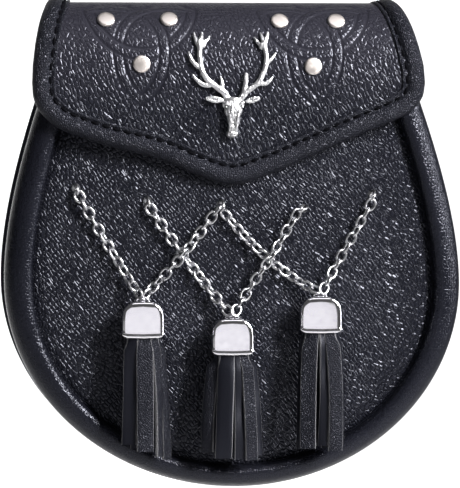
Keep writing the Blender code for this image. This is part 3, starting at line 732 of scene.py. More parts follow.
# %% Front panel with its dome and punched holes
HOLES = in_metres(
    # x, z
    (-64.4, -43.5), (-34.9, -48.7), (-4.5, -50.2), (30.0, -52.0), (59.0, -46.3),
)
HOLE_RADIUS = 1.8 * MM
HOLE_DIP = 0.5 * MM  # how far the leather sinks round a hole
HOLE_DIP_REACH = 2.6 * MM
SEAM_DIP = 1.1 * MM  # how far it is pulled back at the seam
SEAM_DIP_REACH = 2.2 * MM
PANEL_STEPS = (60, 170)  # points down each side, and round the bottom
PANEL_COLUMNS = 130


def panel_point(x, z):
    """The dressed panel's face: the pattern's dome, with its dip into the seam and the holes."""
    dip = SEAM_DIP * math.exp(-max(seam_distance(x, z), 0.0) / SEAM_DIP_REACH)
    for hole_x, hole_z in HOLES:
        away = math.hypot(x - hole_x, z - hole_z)
        dip += HOLE_DIP * math.exp(-(away / HOLE_DIP_REACH) ** 2)
    return Vector((x, panel_front_y(x, z) + dip, z))


def add_front_panel():
    edge = outline(ROLL_SIDE + GAP, ROLL_BOTTOM + GAP, PANEL_TOP_Z, *PANEL_STEPS)
    angles = [math.pi * column / PANEL_COLUMNS for column in range(PANEL_COLUMNS + 1)]
    rows = []
    for x, z in edge[:len(edge) // 2 + 1]:
        centre = middle_x(z)
        rows.append([(centre + (x - centre) * math.cos(angle), z) for angle in angles])
    builder = bmesh.new()
    sheet(builder, rows, panel_point, lambda x, z: (x, panel_front_y(x, z) + PANEL_THICK, z))
    panel = add_piece("front_panel_leather", builder, panel_leather, crease=60.0)
    cutters = []
    for x, z in HOLES:
        bpy.ops.mesh.primitive_cylinder_add(
            vertices=32, radius=HOLE_RADIUS, depth=PANEL_THICK * 4,
            location=(x, panel_front_y(x, z), z), rotation=(math.pi / 2, 0.0, 0.0))
        cutters.append(bpy.context.object)
    return combine(panel, cutters, "DIFFERENCE")


dress(add_front_panel(), "panel_leather", "front_panel")

# %% [markdown]
# ## Tooled knots on the flap
# The flap carries two knots of the three-cornered, endless kind. A tooler would wet the hide,
# trace the lines and press them with a blunt stylus, so each line is a soft groove with a
# rounded bottom, not a cut. A knot is three arcs of a double line. Where two bands cross, the
# lines of the lower one stop at the upper one, and over and under alternate.

# %% Depth of the tooled lines
KNOTS = in_metres(
    # x, run up the flap
    (-37.8, 17.9), (34.2, 17.6),
)
KNOT_REACH = 29.0 * MM  # no line lies further from a knot's middle
ARC_OFFSET = 13.7 * MM  # from a knot's middle to the middle of each of its circles
BAND_LINES = (
    # radius of the line, half the angle that it spans in degrees
    (23.4 * MM, 89.0),
    (19.4 * MM, 82.0),
)
CROSSING_REACH = 15.0 * MM  # crossings lie within this distance of a knot's middle
LINE_HALF_WIDTH = 0.45 * MM
LINE_DEPTH = 0.30 * MM
LINE_END = 2.0  # degrees over which a line runs out


def knot_depth(x, run, knot):
    """How deep one knot's lines press the leather at this place."""
    from_middle = Vector((x - knot[0], run - knot[1]))
    if from_middle.length > KNOT_REACH:
        return 0.0
    arms = []
    for corner in range(3):
        bearing = math.radians(90 + 120 * corner)
        to_circle = Vector((math.cos(bearing), math.sin(bearing))) * ARC_OFFSET
        from_circle = from_middle - to_circle
        arms.append((from_circle.length, abs(math.degrees(from_circle.angle(-to_circle, 0.0)))))
    deepest = 0.0
    for corner, (distance, angle) in enumerate(arms):
        other, _ = arms[(corner + 1) % 3]
        if BAND_LINES[1][0] < other < BAND_LINES[0][0] and from_middle.length < CROSSING_REACH:
            continue                # this band passes under the other one here
        for radius, reach in BAND_LINES:
            past_end = max(angle - reach, 0.0) / LINE_END
            line = math.exp(-((distance - radius) / LINE_HALF_WIDTH) ** 2 - past_end ** 2)
            deepest = max(deepest, line)
    return deepest * LINE_DEPTH


def tooling(x, run):
    return max(knot_depth(x, run, knot) for knot in KNOTS)


print("knots:", len(KNOTS), "with lines %.2f mm deep" % (LINE_DEPTH / MM))


# %% [markdown]
# ## The flap
# The flap is one sheet. It is sewn to the back, comes over the top in a soft fold and hangs
# down the front to a point. The rows of its grid are close together where the knots are, and
# far apart on the back, so the points go where the detail is.

# %% Flap with its knots
KNOTS_END_RUN = 34.0 * MM  # above this run the rows are far apart
FINE_STEP = 0.5 * MM
COARSE_STEP = 2.5 * MM
FLAP_COLUMNS = 310
LOWER_ROWS = 26
TOOLED_SPREAD = 0.25  # power that widens the mask beside a line


def flap_rows():
    """Runs of the flap's upper rows, from the end on the back down to the line at run 0."""
    runs = [END_RUN]
    while runs[-1] > FINE_STEP:
        runs.append(runs[-1] - (COARSE_STEP if runs[-1] > KNOTS_END_RUN else FINE_STEP))
    return runs[:-1] if runs[-1] < FINE_STEP / 2 else runs


def across_flap(run):
    """Even places from the left side of the flap to its right at this run."""
    left = side_x(LEFT, run)
    right = side_x(RIGHT, run)
    return [left + (right - left) * column / FLAP_COLUMNS for column in range(FLAP_COLUMNS + 1)]


def add_flap():
    rows = [[(x, run) for x in across_flap(run)] for run in flap_rows()]
    lower = list(zip(across_flap(0.0), smooth_pairs(FLAP_EDGE, FLAP_COLUMNS)))
    for row in range(LOWER_ROWS + 1):
        share = row / LOWER_ROWS
        rows.append([(x + (edge_x - x) * share, edge_z * share) for x, (edge_x, edge_z) in lower])
    depths = {place: tooling(*place) for row in rows for place in row}
    builder = bmesh.new()
    tooled = builder.verts.layers.float.new("tooled")
    sheet(builder, rows,
          lambda x, run: flap_point(x, run, depths[x, run]),
          lambda x, run: flap_point(x, run, FLAP_THICK))
    for vertex, place in zip(builder.verts, (place for row in rows for place in row)):
        vertex[tooled] = (depths[place] / LINE_DEPTH) ** TOOLED_SPREAD
    return add_piece("flap_leather", builder, flap_leather)


dress(add_flap(), "flap_leather", "flap")

# %% [markdown]
# ## The flap's binding
# A strip of softer leather is folded over the flap's raw edge and sewn through all the layers.
# The thread pulls the strip down, so it puffs up on both sides of the stitch line and dips at
# every stitch. The section below follows the strip from its front inner edge, round the
# outside and back behind the flap; the dips are added along its length.

# %% Stitch line and binding
STITCH_INWARD = 6.2 * MM  # from the flap's edge to the stitch line
STITCH_PITCH = 4.6 * MM
BINDING_TOP_RUN = FRONT_RUN + REAR_RUN * 0.55
BINDING_SECTION = in_metres(
    # inward from the flap's edge, proud of the flap's face
    (8.2, 0.02), (8.25, 0.5), (7.9, 0.85), (7.2, 0.95), (6.2, 0.9), (5.4, 1.2), (4.4, 1.6),
    (3.1, 1.85), (1.6, 1.8), (0.2, 1.2), (-0.9, 0.2), (-1.35, -1.1), (-1.0, -2.4),
    (0.2, -3.2), (3.0, -3.4), (8.2, -3.4), (8.25, -2.2), (6.0, -2.25), (-0.3, -2.3),
    (-0.3, 0.02), (6.0, 0.02),
)
FACE_PROUD = 0.5 * MM  # points prouder than this are the strip's front face
RIM_STEP = 2.0 * MM
SECTION_PITCH = 0.8 * MM  # the section is set at this pitch along the rim
GROOVE_HALF_WIDTH = 0.9 * MM  # the stitch line's groove
GROOVE_DEPTH = 0.45 * MM
STITCH_DIP = 0.40 * MM  # how much deeper it is at each stitch
WAVE_HEIGHT = 0.12 * MM  # the puffed parts swell and sink a little along the strip
WAVE_REACH = 9.0 * MM
RIM_NEIGHBOURS = 6  # rim points either side that give its direction
print("binding section:", len(BINDING_SECTION), "points")


# %% Sweep the binding round the rim
def lengths_along(path):
    """How far along a path each of its points lies."""
    lengths = [0.0]
    for near, far in zip(path, path[1:]):
        lengths.append(lengths[-1] + math.dist(near, far))
    return lengths


def even_path(path, pitch):
    """Points at an even pitch along a path."""
    lengths = lengths_along(path)
    steps = int(lengths[-1] / pitch)
    at = np.linspace(0.0, lengths[-1], steps + 1)
    columns = [np.interp(at, lengths, values) for values in zip(*path)]
    return [tuple(map(float, point)) for point in zip(*columns)]


def inward_ways(path, reach):
    """At each point of a path, the unit vector to its left, averaged over a few points."""
    ways = []
    for index in range(len(path)):
        before = Vector(path[max(index - reach, 0)])
        after = Vector(path[min(index + reach, len(path) - 1)])
        along = (after - before).normalized()
        ways.append(Vector((-along.y, along.x)))
    return ways


def add_binding():
    """Sweep the section round the rim and return the piece with its stitch places."""
    rim = even_path(flap_rim(RIM_STEP, BINDING_TOP_RUN), SECTION_PITCH)
    ways = inward_ways(rim, RIM_NEIGHBOURS)
    section = refined(BINDING_SECTION, 2)
    seam = [tuple(Vector(place) + way * STITCH_INWARD) for place, way in zip(rim, ways)]
    loops = []
    for place, way, length in zip(rim, ways, lengths_along(seam)):
        pull = 0.5 + 0.5 * math.cos(2 * math.pi * length / STITCH_PITCH)
        loop = []
        for inward, proud in section:
            if proud > FACE_PROUD:
                near_seam = math.exp(-((inward - STITCH_INWARD) / GROOVE_HALF_WIDTH) ** 2)
                proud -= near_seam * (GROOVE_DEPTH + STITCH_DIP * pull)
                proud += WAVE_HEIGHT * (1 - near_seam) * math.sin(length / WAVE_REACH)
            spot = Vector(place) + way * inward
            loop.append(flap_point(spot.x, spot.y, -proud))
        loops.append(loop)
    return lofted("flap_binding_leather", loops, binding_leather, crease=70.0), seam


binding, binding_seam = add_binding()
dress(binding, "binding_leather", "flap_binding")

# %% [markdown]
# ## One tool for everything that repeats
# Stitches and chain links are the same small shape many times over. The places are worked out
# in Python, where the pattern functions live. A Geometry Nodes tree then puts one copy at each
# place and turns it by a stored angle. A seeded random size stops a row looking stamped. The
# result is turned into a plain mesh, so the finished piece carries no live modifier.

# %% Copies of a part, placed by Geometry Nodes
def repeat_tree():
    tree = bpy.data.node_groups.new("copies_at_places", "GeometryNodeTree")
    for name, kind in (("Geometry", "Geometry"), ("Part", "Object"), ("Skin", "Material"),
                       ("Size Variation", "Float"), ("Seed", "Int")):
        tree.interface.new_socket(name, in_out="INPUT", socket_type="NodeSocket" + kind)
    tree.interface.new_socket("Geometry", in_out="OUTPUT", socket_type="NodeSocketGeometry")
    kinds = {
        "source": "NodeGroupInput", "result": "NodeGroupOutput",
        "points": "GeometryNodeMeshToPoints", "part": "GeometryNodeObjectInfo",
        "turn": "GeometryNodeInputNamedAttribute", "rotation": "FunctionNodeEulerToRotation",
        "least": "ShaderNodeMath", "most": "ShaderNodeMath",
        "size": "FunctionNodeRandomValue", "copies": "GeometryNodeInstanceOnPoints",
        "solid": "GeometryNodeRealizeInstances", "skin": "GeometryNodeSetMaterial",
    }
    nodes = {name: tree.nodes.new(kind) for name, kind in kinds.items()}
    nodes["turn"].data_type = "FLOAT_VECTOR"
    nodes["turn"].inputs["Name"].default_value = "turn"
    for name, operation in (("least", "SUBTRACT"), ("most", "ADD")):
        nodes[name].operation = operation
        nodes[name].inputs[0].default_value = 1.0
    for start, output, end, socket in (
            ("source", "Geometry", "points", "Mesh"),
            ("source", "Part", "part", "Object"),
            ("source", "Size Variation", "least", 1),
            ("source", "Size Variation", "most", 1),
            ("source", "Seed", "size", "Seed"),
            ("least", 0, "size", 2),
            ("most", 0, "size", 3),
            ("turn", "Attribute", "rotation", "Euler"),
            ("points", "Points", "copies", "Points"),
            ("part", "Geometry", "copies", "Instance"),
            ("rotation", "Rotation", "copies", "Rotation"),
            ("size", 1, "copies", "Scale"),
            ("copies", "Instances", "solid", "Geometry"),
            ("solid", "Geometry", "skin", "Geometry"),
            ("source", "Skin", "skin", "Material"),
            ("skin", "Geometry", "result", "Geometry")):
        tree.links.new(nodes[start].outputs[output], nodes[end].inputs[socket])
    return tree


COPIES = repeat_tree()
print("copy tool ready:", COPIES.name)


# %% Put copies at places
def repeat(name, part, frames, skin, variation=0.0, seed=1):
    """One mesh with a copy of a part at each frame (a 4 x 4 matrix). The part stays."""
    places = bpy.data.meshes.new(name + "_places")
    places.from_pydata([frame_at.translation for frame_at in frames], [], [])
    turns = places.attributes.new("turn", "FLOAT_VECTOR", "POINT")
    for target, frame_at in zip(turns.data, frames):
        target.vector = frame_at.to_euler()
    copied = add_object(name, places)
    copier = copied.modifiers.new("Copies", "NODES")
    copier.node_group = COPIES
    values = {"Part": part, "Skin": skin, "Size Variation": variation, "Seed": seed}
    for socket in COPIES.interface.items_tree:
        if socket.name in values:
            copier[socket.identifier] = values[socket.name]
    apply_modifiers(copied)
    copied.data.shade_smooth()
    return copied


print("copies can be placed")

# %% Frames and bars
TO_RIGHT = Vector((1.0, 0.0, 0.0))
BACKWARDS = Vector((0.0, 1.0, 0.0))
FORWARDS = Vector((0.0, -1.0, 0.0))


def frame_along(place, along, out):
    """A frame at a place whose X runs along a direction and whose Z points out."""
    x_way = along.normalized()
    y_way = out.cross(x_way).normalized()
    z_way = x_way.cross(y_way)
    turn = Matrix((x_way, y_way, z_way)).transposed().to_4x4()
    return Matrix.Translation(place) @ turn


def bar(points, radii, sides):
    """A bmesh of a round bar through points, with a radius for each."""
    last = len(points) - 1
    spokes = circle(sides)
    loops = []
    for index, (point, radius) in enumerate(zip(points, radii)):
        along = points[min(index + 1, last)] - points[max(index - 1, 0)]
        frame_at = frame_along(point, along, BACKWARDS)
        loops.append([frame_at @ Vector((0.0, radius * y, radius * z)) for y, z in spokes])
    builder = bmesh.new()
    loft(builder, loops)
    return builder


print("frames and bars ready")

# %% [markdown]
# ## Stitches
# Each stitch is a short length of waxed thread that comes up through one hole and goes down
# through the next. It is highest in its middle and buried at both ends. The long row follows
# the binding; a second row holds the flap to the back; a third sews the back panel on.

# %% Stitch sizes and rows
STITCH_BOW = (
    # along as a part of the half length, height as a part of the thickness
    (-1.0, -1.6), (-0.82, -0.2), (-0.45, 0.25), (0.0, 0.4), (0.45, 0.25), (0.82, -0.2),
    (1.0, -1.6),
)
STITCH_SIDES = 8
SEAM_STITCH = (3.4 * MM, 1.1 * MM)  # length and thickness
FOOT_STITCH = (3.2 * MM, 0.75 * MM)
SEAM_STITCH_PROUD = 0.25 * MM  # the binding lifts its stitches off the flap's face
REAR_ROW_INSET = 10 * MM  # the rear row stops this far from the flap's sides
REAR_ROW_RISE = 3 * MM  # and lies this far above the flap's end
BACK_ROW_INSET = 3.0 * MM
BACK_ROW_TOP_Z = 12.0 * MM
BACK_ROW_STEPS = (60, 160)
BACK_STITCH_PITCH = 5.0 * MM


def stitch_part(length, thickness):
    points = [Vector((length / 2 * along, 0.0, height * thickness)) for along, height in STITCH_BOW]
    round_bar = bar(points, [thickness / 2] * len(points), STITCH_SIDES)
    return add_piece("stitch", round_bar, stitch_thread)


def out_of_flap(x, run):
    """The way straight out of the flap's leather, a millimetre long."""
    return flap_point(x, run, 0.0) - flap_point(x, run, 1.0 * MM)


def flap_frames(path, depth):
    """Frames on the flap at (x, run) places, turned along the path. Its two ends get none."""
    frames = []
    for before, place, after in zip(path, path[1:], path[2:]):
        along = flap_point(*after, depth) - flap_point(*before, depth)
        frames.append(frame_along(flap_point(*place, depth), along, out_of_flap(*place)))
    return frames


def back_frames(path):
    """Frames on the back panel's rear face at (x, z) places."""
    frames = []
    for before, place, after in zip(path, path[1:], path[2:]):
        along = Vector((after[0] - before[0], 0.0, after[1] - before[1]))
        spot = Vector((place[0], back_high.y, place[1]))
        frames.append(frame_along(spot, along, BACKWARDS))
    return frames


def sew(name, part, frames, variation, seed):
    """One piece with a stitch at each frame."""
    dress(repeat(name, part, frames, stitch_thread, variation, seed), "stitch_thread")


print("stitch sizes:", [round(size / MM, 2) for size in SEAM_STITCH + FOOT_STITCH])

# %% Sew the three seams
rear_run = END_RUN - REAR_ROW_RISE
rear_row = [(side_x(LEFT, END_RUN) + REAR_ROW_INSET, rear_run),
            (side_x(RIGHT, END_RUN) - REAR_ROW_INSET, rear_run)]
back_row = outline(BACK_ROW_INSET, BACK_ROW_INSET, BACK_ROW_TOP_Z, *BACK_ROW_STEPS)
stitch = stitch_part(*SEAM_STITCH)
sew("binding_stitches", stitch,
    flap_frames(even_path(binding_seam, STITCH_PITCH), -SEAM_STITCH_PROUD), 0.06, 3)
sew("flap_rear_stitches", stitch, flap_frames(even_path(rear_row, STITCH_PITCH), 0.0), 0.06, 4)
sew("back_stitches", stitch, back_frames(even_path(back_row, BACK_STITCH_PITCH)), 0.05, 5)
bpy.data.objects.remove(stitch)

# %% [markdown]
# ## Studs
# Six low dome studs stand in two triangles inside the knots. Each is a stamped disc of nickel
# with a flat middle and a turned-down rim, held by a post through the leather. Round things
# are turned on a lathe here too: one profile, swept once round.

# %% Studs
STUDS = in_metres(
    # x, z
    (-51.9, 26.1), (-25.8, 26.3), (-37.7, 7.8), (20.2, 25.7), (43.9, 25.7), (33.4, 7.0),
)
STUD_PROFILE = in_metres(
    # radius, height above the leather
    (1.1, -1.9), (1.1, -0.1), (3.35, -0.1), (3.62, 0.0), (3.65, 0.3), (3.58, 0.7), (3.3, 1.02),
    (2.8, 1.16), (1.9, 1.24), (1.0, 1.28), (0.25, 1.29),
)
STUD_SIDES = 48


def turned(builder, profile, sides, frame_at, depth_ratio=1.0):
    """Turn (radius, height) points about a frame's local Z, with its Y squeezed."""
    spokes = circle(sides)
    loops = []
    for radius, height in profile:
        ring = [Vector((radius * x, radius * depth_ratio * y, height)) for x, y in spokes]
        loops.append([frame_at @ spot for spot in ring])
    loft(builder, loops)


def facing_frame(x, z):
    """A frame on the flap's front whose Z points straight out of the leather."""
    run = run_at_height(z)
    return frame_along(flap_point(x, run, 0.0), TO_RIGHT, out_of_flap(x, run).normalized())


for number, (x, z) in enumerate(STUDS, start=1):
    builder = bmesh.new()
    turned(builder, refined(STUD_PROFILE, 3), STUD_SIDES, facing_frame(x, z))
    stud = add_piece("stud_%d_dome" % number, builder, nickel, crease=60.0)
    dress(stud, "nickel", "stud_%d" % number)

# %% [markdown]
# ## The stag emblem
# The real emblem is a hollow-backed casting with pins that go through the flap. A modeller
# would cut the master in wax: ridged bars for the antlers, lumps for skull, brow and muzzle,
# then fuse and carve them. The script does the same. Bars and lumps are joined, a voxel remesh
# melts them into one skin, and a last pass presses ears, nostrils and fur.

# %% Tables of the emblem
# Branches: x, z and radius of each point. The antlers aren't mirror images of each other.
BRANCHES = (
    # left beam and its crown
    ((-1.7, -6.9, 1.08), (-2.8, -5.3, 1.35), (-4.3, -3.4, 1.35), (-6.9, -1.6, 1.24),
     (-9.9, 0.7, 1.19), (-11.9, 3.2, 1.13), (-13.0, 5.6, 1.08), (-13.5, 8.2, 1.03),
     (-13.8, 11.2, 0.97), (-13.7, 13.8, 1.08), (-13.5, 16.5, 1.35), (-12.7, 18.9, 0.76),
     (-12.4, 20.7, 0.43)),
    ((-13.8, 14.0, 0.76), (-15.1, 17.1, 0.92), (-15.7, 19.1, 0.65), (-15.8, 20.7, 0.36)),
    ((-13.5, 14.2, 0.76), (-11.7, 16.4, 0.92), (-10.2, 17.7, 0.65), (-9.3, 19.3, 0.32)),
    ((-12.8, 5.9, 0.86), (-15.2, 7.2, 0.92), (-16.9, 9.0, 0.86), (-17.9, 11.3, 0.65),
     (-18.4, 12.7, 0.41)),
    ((-8.5, -0.7, 0.97), (-11.5, -0.9, 1.03), (-13.7, 0.1, 0.92), (-15.7, 2.0, 0.65),
     (-17.0, 3.8, 0.32)),
    ((-4.7, -3.2, 1.08), (-4.6, -1.0, 0.97), (-4.7, 0.8, 0.7), (-5.4, 3.1, 0.32)),
    ((-5.1, -2.6, 0.65), (-6.2, -1.1, 0.27)),
    # right beam and its crown
    ((2.4, -7.1, 1.08), (3.7, -5.6, 1.35), (5.4, -3.5, 1.3), (8.0, -1.8, 1.19), (10.8, 0.7, 1.19),
     (12.5, 4.2, 1.08), (13.6, 7.4, 1.08), (13.8, 10.7, 0.97), (13.5, 13.4, 1.03),
     (13.1, 15.8, 1.13), (14.0, 17.9, 0.92), (14.9, 20.9, 0.49)),
    ((13.2, 14.8, 0.76), (12.6, 17.5, 0.86), (11.8, 20.6, 0.32)),
    ((13.4, 13.8, 0.86), (11.3, 15.6, 0.81), (10.0, 17.1, 0.65), (9.0, 18.8, 0.36)),
    ((13.5, 7.4, 0.86), (15.0, 9.0, 0.92), (16.5, 10.3, 0.7), (17.9, 12.4, 0.36)),
    ((10.5, 0.1, 0.97), (12.9, -0.3, 0.92), (14.8, 0.7, 0.81), (16.6, 2.7, 0.38)),
    ((4.0, -4.9, 1.08), (4.7, -2.4, 1.03), (5.2, 0.5, 0.97), (5.3, 3.2, 0.92), (5.4, 4.2, 0.65)),
)
# Lumps of the head: x, z, height of the middle, then the radii across, along and outwards,
# and how far the lump is turned in degrees.
LUMPS = (
    (0.0, -8.6, 1.2, 4.7, 2.9, 2.2, 0),
    (0.0, -10.8, 1.5, 3.8, 4.0, 2.5, 0),
    (0.1, -14.4, 1.6, 2.8, 4.4, 2.3, 0),
    (-0.1, -18.2, 1.5, 2.05, 3.4, 2.2, 0),
    (-0.5, -20.8, 1.5, 2.5, 1.8, 2.3, 0),
    (-2.6, -8.5, 2.6, 1.6, 0.8, 1.2, -28),
    (3.3, -8.4, 2.6, 1.6, 0.8, 1.2, 28),
    (-2.9, -9.8, 2.4, 0.75, 0.6, 0.9, 0),
    (3.5, -9.7, 2.4, 0.75, 0.6, 0.9, 0),
    (0.4, -6.8, 2.0, 2.8, 1.1, 1.2, 0),
    (-7.7, -6.7, 1.5, 3.9, 1.4, 1.0, -6),
    (8.1, -6.9, 1.5, 3.2, 1.25, 1.0, 13),
    (-12.9, 15.6, 0.9, 2.0, 1.9, 0.9, 0),
    (12.3, 15.0, 0.9, 1.6, 1.7, 0.9, 0),
)
# Ridges carved down the face: x, z, height and radius of each point.
RIDGES = (
    ((-2.2, -10.8, 3.2, 0.5), (-1.4, -13.4, 3.6, 0.55), (-1.4, -16.4, 3.3, 0.5),
     (-1.6, -19.7, 2.9, 0.45)),
    ((2.9, -10.6, 3.2, 0.6), (1.8, -13.2, 3.6, 0.7), (1.3, -16.4, 3.4, 0.7),
     (0.8, -19.9, 3.0, 0.5)),
    ((-0.7, -9.3, 3.6, 0.5), (-0.8, -12.0, 4.0, 0.6), (-0.3, -13.8, 3.8, 0.4)),
)
# Places pressed in after the skin is fused: x, z, radius across, radius along, depth, degrees.
DENTS = (
    (-7.8, -6.6, 2.5, 0.7, 0.8, -6),
    (8.1, -6.8, 2.0, 0.65, 0.8, 13),
    (-1.6, -21.3, 0.45, 0.32, 0.5, 0),
    (0.6, -21.3, 0.45, 0.32, 0.5, 0),
    (-0.5, -22.1, 1.4, 0.22, 0.35, 0),
    (0.0, -16.3, 0.45, 2.8, 0.4, 0),
    (-3.6, -10.2, 0.9, 0.25, 0.5, -30),
    (4.2, -10.1, 0.9, 0.25, 0.5, 30),
)
VOXEL = 0.17 * MM
FLATNESS = 0.62  # an antler's thickness over its width
ANTLER_SIDES = 15
ANTLER_RIDGES = 5  # lengthwise ridges round an antler
RIDGE_SWELL = 0.10  # how far they stand out, as a part of the radius
RIDGE_TWIST = 0.9  # how far they turn from ring to ring
POST_PROFILE = in_metres((1.1, -2.3), (1.1, 2.0))
POST_PLACE = (-0.1 * MM, -10.0 * MM)
print("emblem tables: %d branches, %d lumps" % (len(BRANCHES), len(LUMPS)))


# %% Build the emblem
def emblem_point(x, z, height):
    """Place in the emblem's own tables (millimetres) on the flap's face."""
    return flap_point(x * MM, run_at_height(z * MM), -GAP - height * MM)


def antler(branch):
    """A flattened bar with lengthwise ridges, like an antler's."""
    curve = smooth_curve(branch, 4 * (len(branch) - 1))
    points = [emblem_point(x, z, 0.5 + radius * FLATNESS) for x, z, radius in curve]
    builder = bar(points, [radius * MM for x, z, radius in curve], ANTLER_SIDES)
    for number, vertex in enumerate(builder.verts):
        ring, side = divmod(number, ANTLER_SIDES)
        angle = 2 * math.pi * side / ANTLER_SIDES
        swell = 1 + RIDGE_SWELL * math.cos(ANTLER_RIDGES * angle + RIDGE_TWIST * ring)
        vertex.co = points[ring] + (vertex.co - points[ring]) * swell
        x, z, radius = curve[ring]
        out = (emblem_point(x, z, 1.0) - emblem_point(x, z, 0.0)).normalized()
        vertex.co -= out * (vertex.co - points[ring]).dot(out) * (1 - FLATNESS)
    return builder


def ridge_bar(ridge):
    points = [emblem_point(x, z, height) for x, z, height, radius in ridge]
    return bar(points, [radius * MM for x, z, height, radius in ridge], 10)


def lump(x, z, height, across, along, outwards, degrees):
    builder = bmesh.new()
    bmesh.ops.create_uvsphere(builder, u_segments=24, v_segments=14, radius=1.0)
    shape = Matrix.Rotation(math.radians(-degrees), 4, "Y") @ Matrix.Diagonal(
        (across * MM, outwards * MM, along * MM, 1.0))
    builder.transform(Matrix.Translation(emblem_point(x, z, height)) @ shape)
    return builder


def fused_emblem():
    post = bmesh.new()
    turned(post, POST_PROFILE, 16, facing_frame(*POST_PLACE))
    shapes = [antler(branch) for branch in BRANCHES] + [ridge_bar(ridge) for ridge in RIDGES]
    shapes += [lump(*row) for row in LUMPS] + [post]
    whole = bmesh.new()
    for shape in shapes:
        part = bpy.data.meshes.new("part")
        shape.to_mesh(part)
        shape.free()
        whole.from_mesh(part)
        bpy.data.meshes.remove(part)
    emblem = add_piece("stag_emblem_cast", whole, antique_silver, crease=180.0)
    melt = emblem.modifiers.new("Melt", "REMESH")
    melt.mode = "VOXEL"
    melt.voxel_size = VOXEL
    return apply_modifiers(emblem)


emblem = fused_emblem()
print("fused emblem:", len(emblem.data.vertices), "points")

# %% Carve the emblem
SMOOTHING_ROUNDS = 3
FUR = (
    # share, then waves per millimetre across, in depth and along the hair
    (1.0, (1.7, 1.7, 0.8)),
    (0.5, (4.0, 4.0, 1.6)),
)
FUR_DEPTH = 0.20  # millimetres on the head
FUR_ON_ANTLERS = 0.55  # the part of that depth on the antlers
HEAD_BELOW_Z = -5.0  # millimetres: everything below this is the head
HOLLOW_ROUNDS = 10  # a hollow lies deeper than its neighbours this far around
HOLLOW_DEPTH = 0.09 * MM  # a hollow this deep is fully tarnished


def neighbour_average(mesh, values, rounds):
    """Average each vertex's value with its neighbours', several times over."""
    edges = np.empty(len(mesh.edges) * 2, dtype=np.int64)
    mesh.edges.foreach_get("vertices", edges)
    edges = edges.reshape(-1, 2)
    count = np.bincount(edges.ravel(), minlength=len(mesh.vertices)).reshape(-1, 1)
    for _ in range(rounds):
        total = np.zeros_like(values)
        np.add.at(total, edges[:, 0], values[edges[:, 1]])
        np.add.at(total, edges[:, 1], values[edges[:, 0]])
        values = (values + total / count) / 2
    return values


def dent_depth(places, facing):
    """How deep the dents press each place, in millimetres."""
    depth = np.zeros(len(places))
    for x, z, across, along, deep, degrees in DENTS:
        away_x = places[:, 0] / MM - x
        away_z = places[:, 2] / MM - z
        turn = math.radians(degrees)
        u = (away_x * math.cos(turn) + away_z * math.sin(turn)) / across
        v = (-away_x * math.sin(turn) + away_z * math.cos(turn)) / along
        depth += deep * np.exp(-u ** 2 - v ** 2) * facing
    return depth


def fur_depth(place):
    """How deep the fur's grooves are at a place, all in millimetres."""
    fur = 0.0
    for share, scales in FUR:
        fur += share * noise.noise(Vector([at * scale for at, scale in zip(place, scales)]))
    return FUR_DEPTH * fur * (1.0 if place[2] < HEAD_BELOW_Z else FUR_ON_ANTLERS)


def carve(emblem):
    """Smooth the voxel steps, press the dents and the fur, and store where the hollows are."""
    mesh = emblem.data
    count = len(mesh.vertices)
    places = np.empty(count * 3)
    mesh.vertices.foreach_get("co", places)
    places = neighbour_average(mesh, places.reshape(-1, 3), SMOOTHING_ROUNDS)
    mesh.vertices.foreach_set("co", places.ravel())
    mesh.update()
    normals = np.empty(count * 3)
    mesh.vertices.foreach_get("normal", normals)
    normals = normals.reshape(-1, 3)
    depth = dent_depth(places, np.clip(-normals[:, 1], 0.0, 1.0))
    depth += [fur_depth(place) for place in places / MM]
    places -= normals * depth.reshape(-1, 1) * MM
    mesh.vertices.foreach_set("co", places.ravel())
    mesh.update()
    soft = neighbour_average(mesh, places, HOLLOW_ROUNDS)
    sunk = ((soft - places) * normals).sum(axis=1) / HOLLOW_DEPTH
    hollow = np.clip(sunk, 0.0, 1.0)
    mask = mesh.attributes.new("hollow", "FLOAT", "POINT")
    mask.data.foreach_set("value", neighbour_average(mesh, hollow.reshape(-1, 1), 1).ravel())
    mesh.shade_smooth()
    return emblem


dress(carve(emblem), "antique_silver", "stag_emblem")

# %% [markdown]
# ## Tassel caps
# A cap is pressed from sheet metal in the shape of a flattened bell and plated bright. Its
# front is nearly flat, which is why it mirrors one broad patch of light, and its mouth curves
# up at both sides. A wire bail is soldered across the top, and two chains hold it up.

# %% Sizes of the caps and bails
TASSELS = in_metres(
    # x, cap bottom z
    (-37.6, -104.8), (-0.6, -112.0), (36.1, -103.2),
)
CAP_HALF_WIDTH = 8.9 * MM
CAP_DEPTH_RATIO = 0.695
CAP_HEIGHT = 15.2 * MM
CAP_WALL = 0.8 * MM
CAP_SIDES = 72
CAP_SQUARENESS = 2.7  # of the back: 2 is an ellipse, more makes the sides squarer
FRONT_SQUARENESS = 15.0  # of the front, which is pressed almost flat
CAP_FLAT_FRONT = 5.9 * MM  # the pressed front stands this far before the middle
ARCH_FOOT = 0.35  # the arch of the front starts at this part of the height
ARCH_TOP = 0.995  # and nearly closes at the top
ARCH_SQUARENESS = 3.2  # of the arch in which the front starts to roll over
ROLL_OVER_POWER = 1 / 6  # a small power keeps the front flat up to its rim
CORNER_LIFT = 1.4 * MM  # the mouth curves up by this much at its two sides
CORNER_POWER = 6
BODY_WIDTH = 0.985  # of the cap above its lip, as a part of the whole width
LIP_TOP = 0.12  # the turned lip ends at this part of the height
CAP_PROFILE = (
    # radius as a part of the half width, height as a part of the cap's
    (0.30, 0.90), (0.66, 0.79), (0.86, 0.55), (0.90, 0.30), (0.90, 0.01), (0.95, 0.0),
    (1.00, 0.01), (1.02, 0.04), (1.005, 0.085), (0.985, 0.12), (0.985, 0.34), (0.955, 0.54),
    (0.885, 0.71), (0.75, 0.85), (0.55, 0.945), (0.32, 0.99), (0.12, 1.0),
)
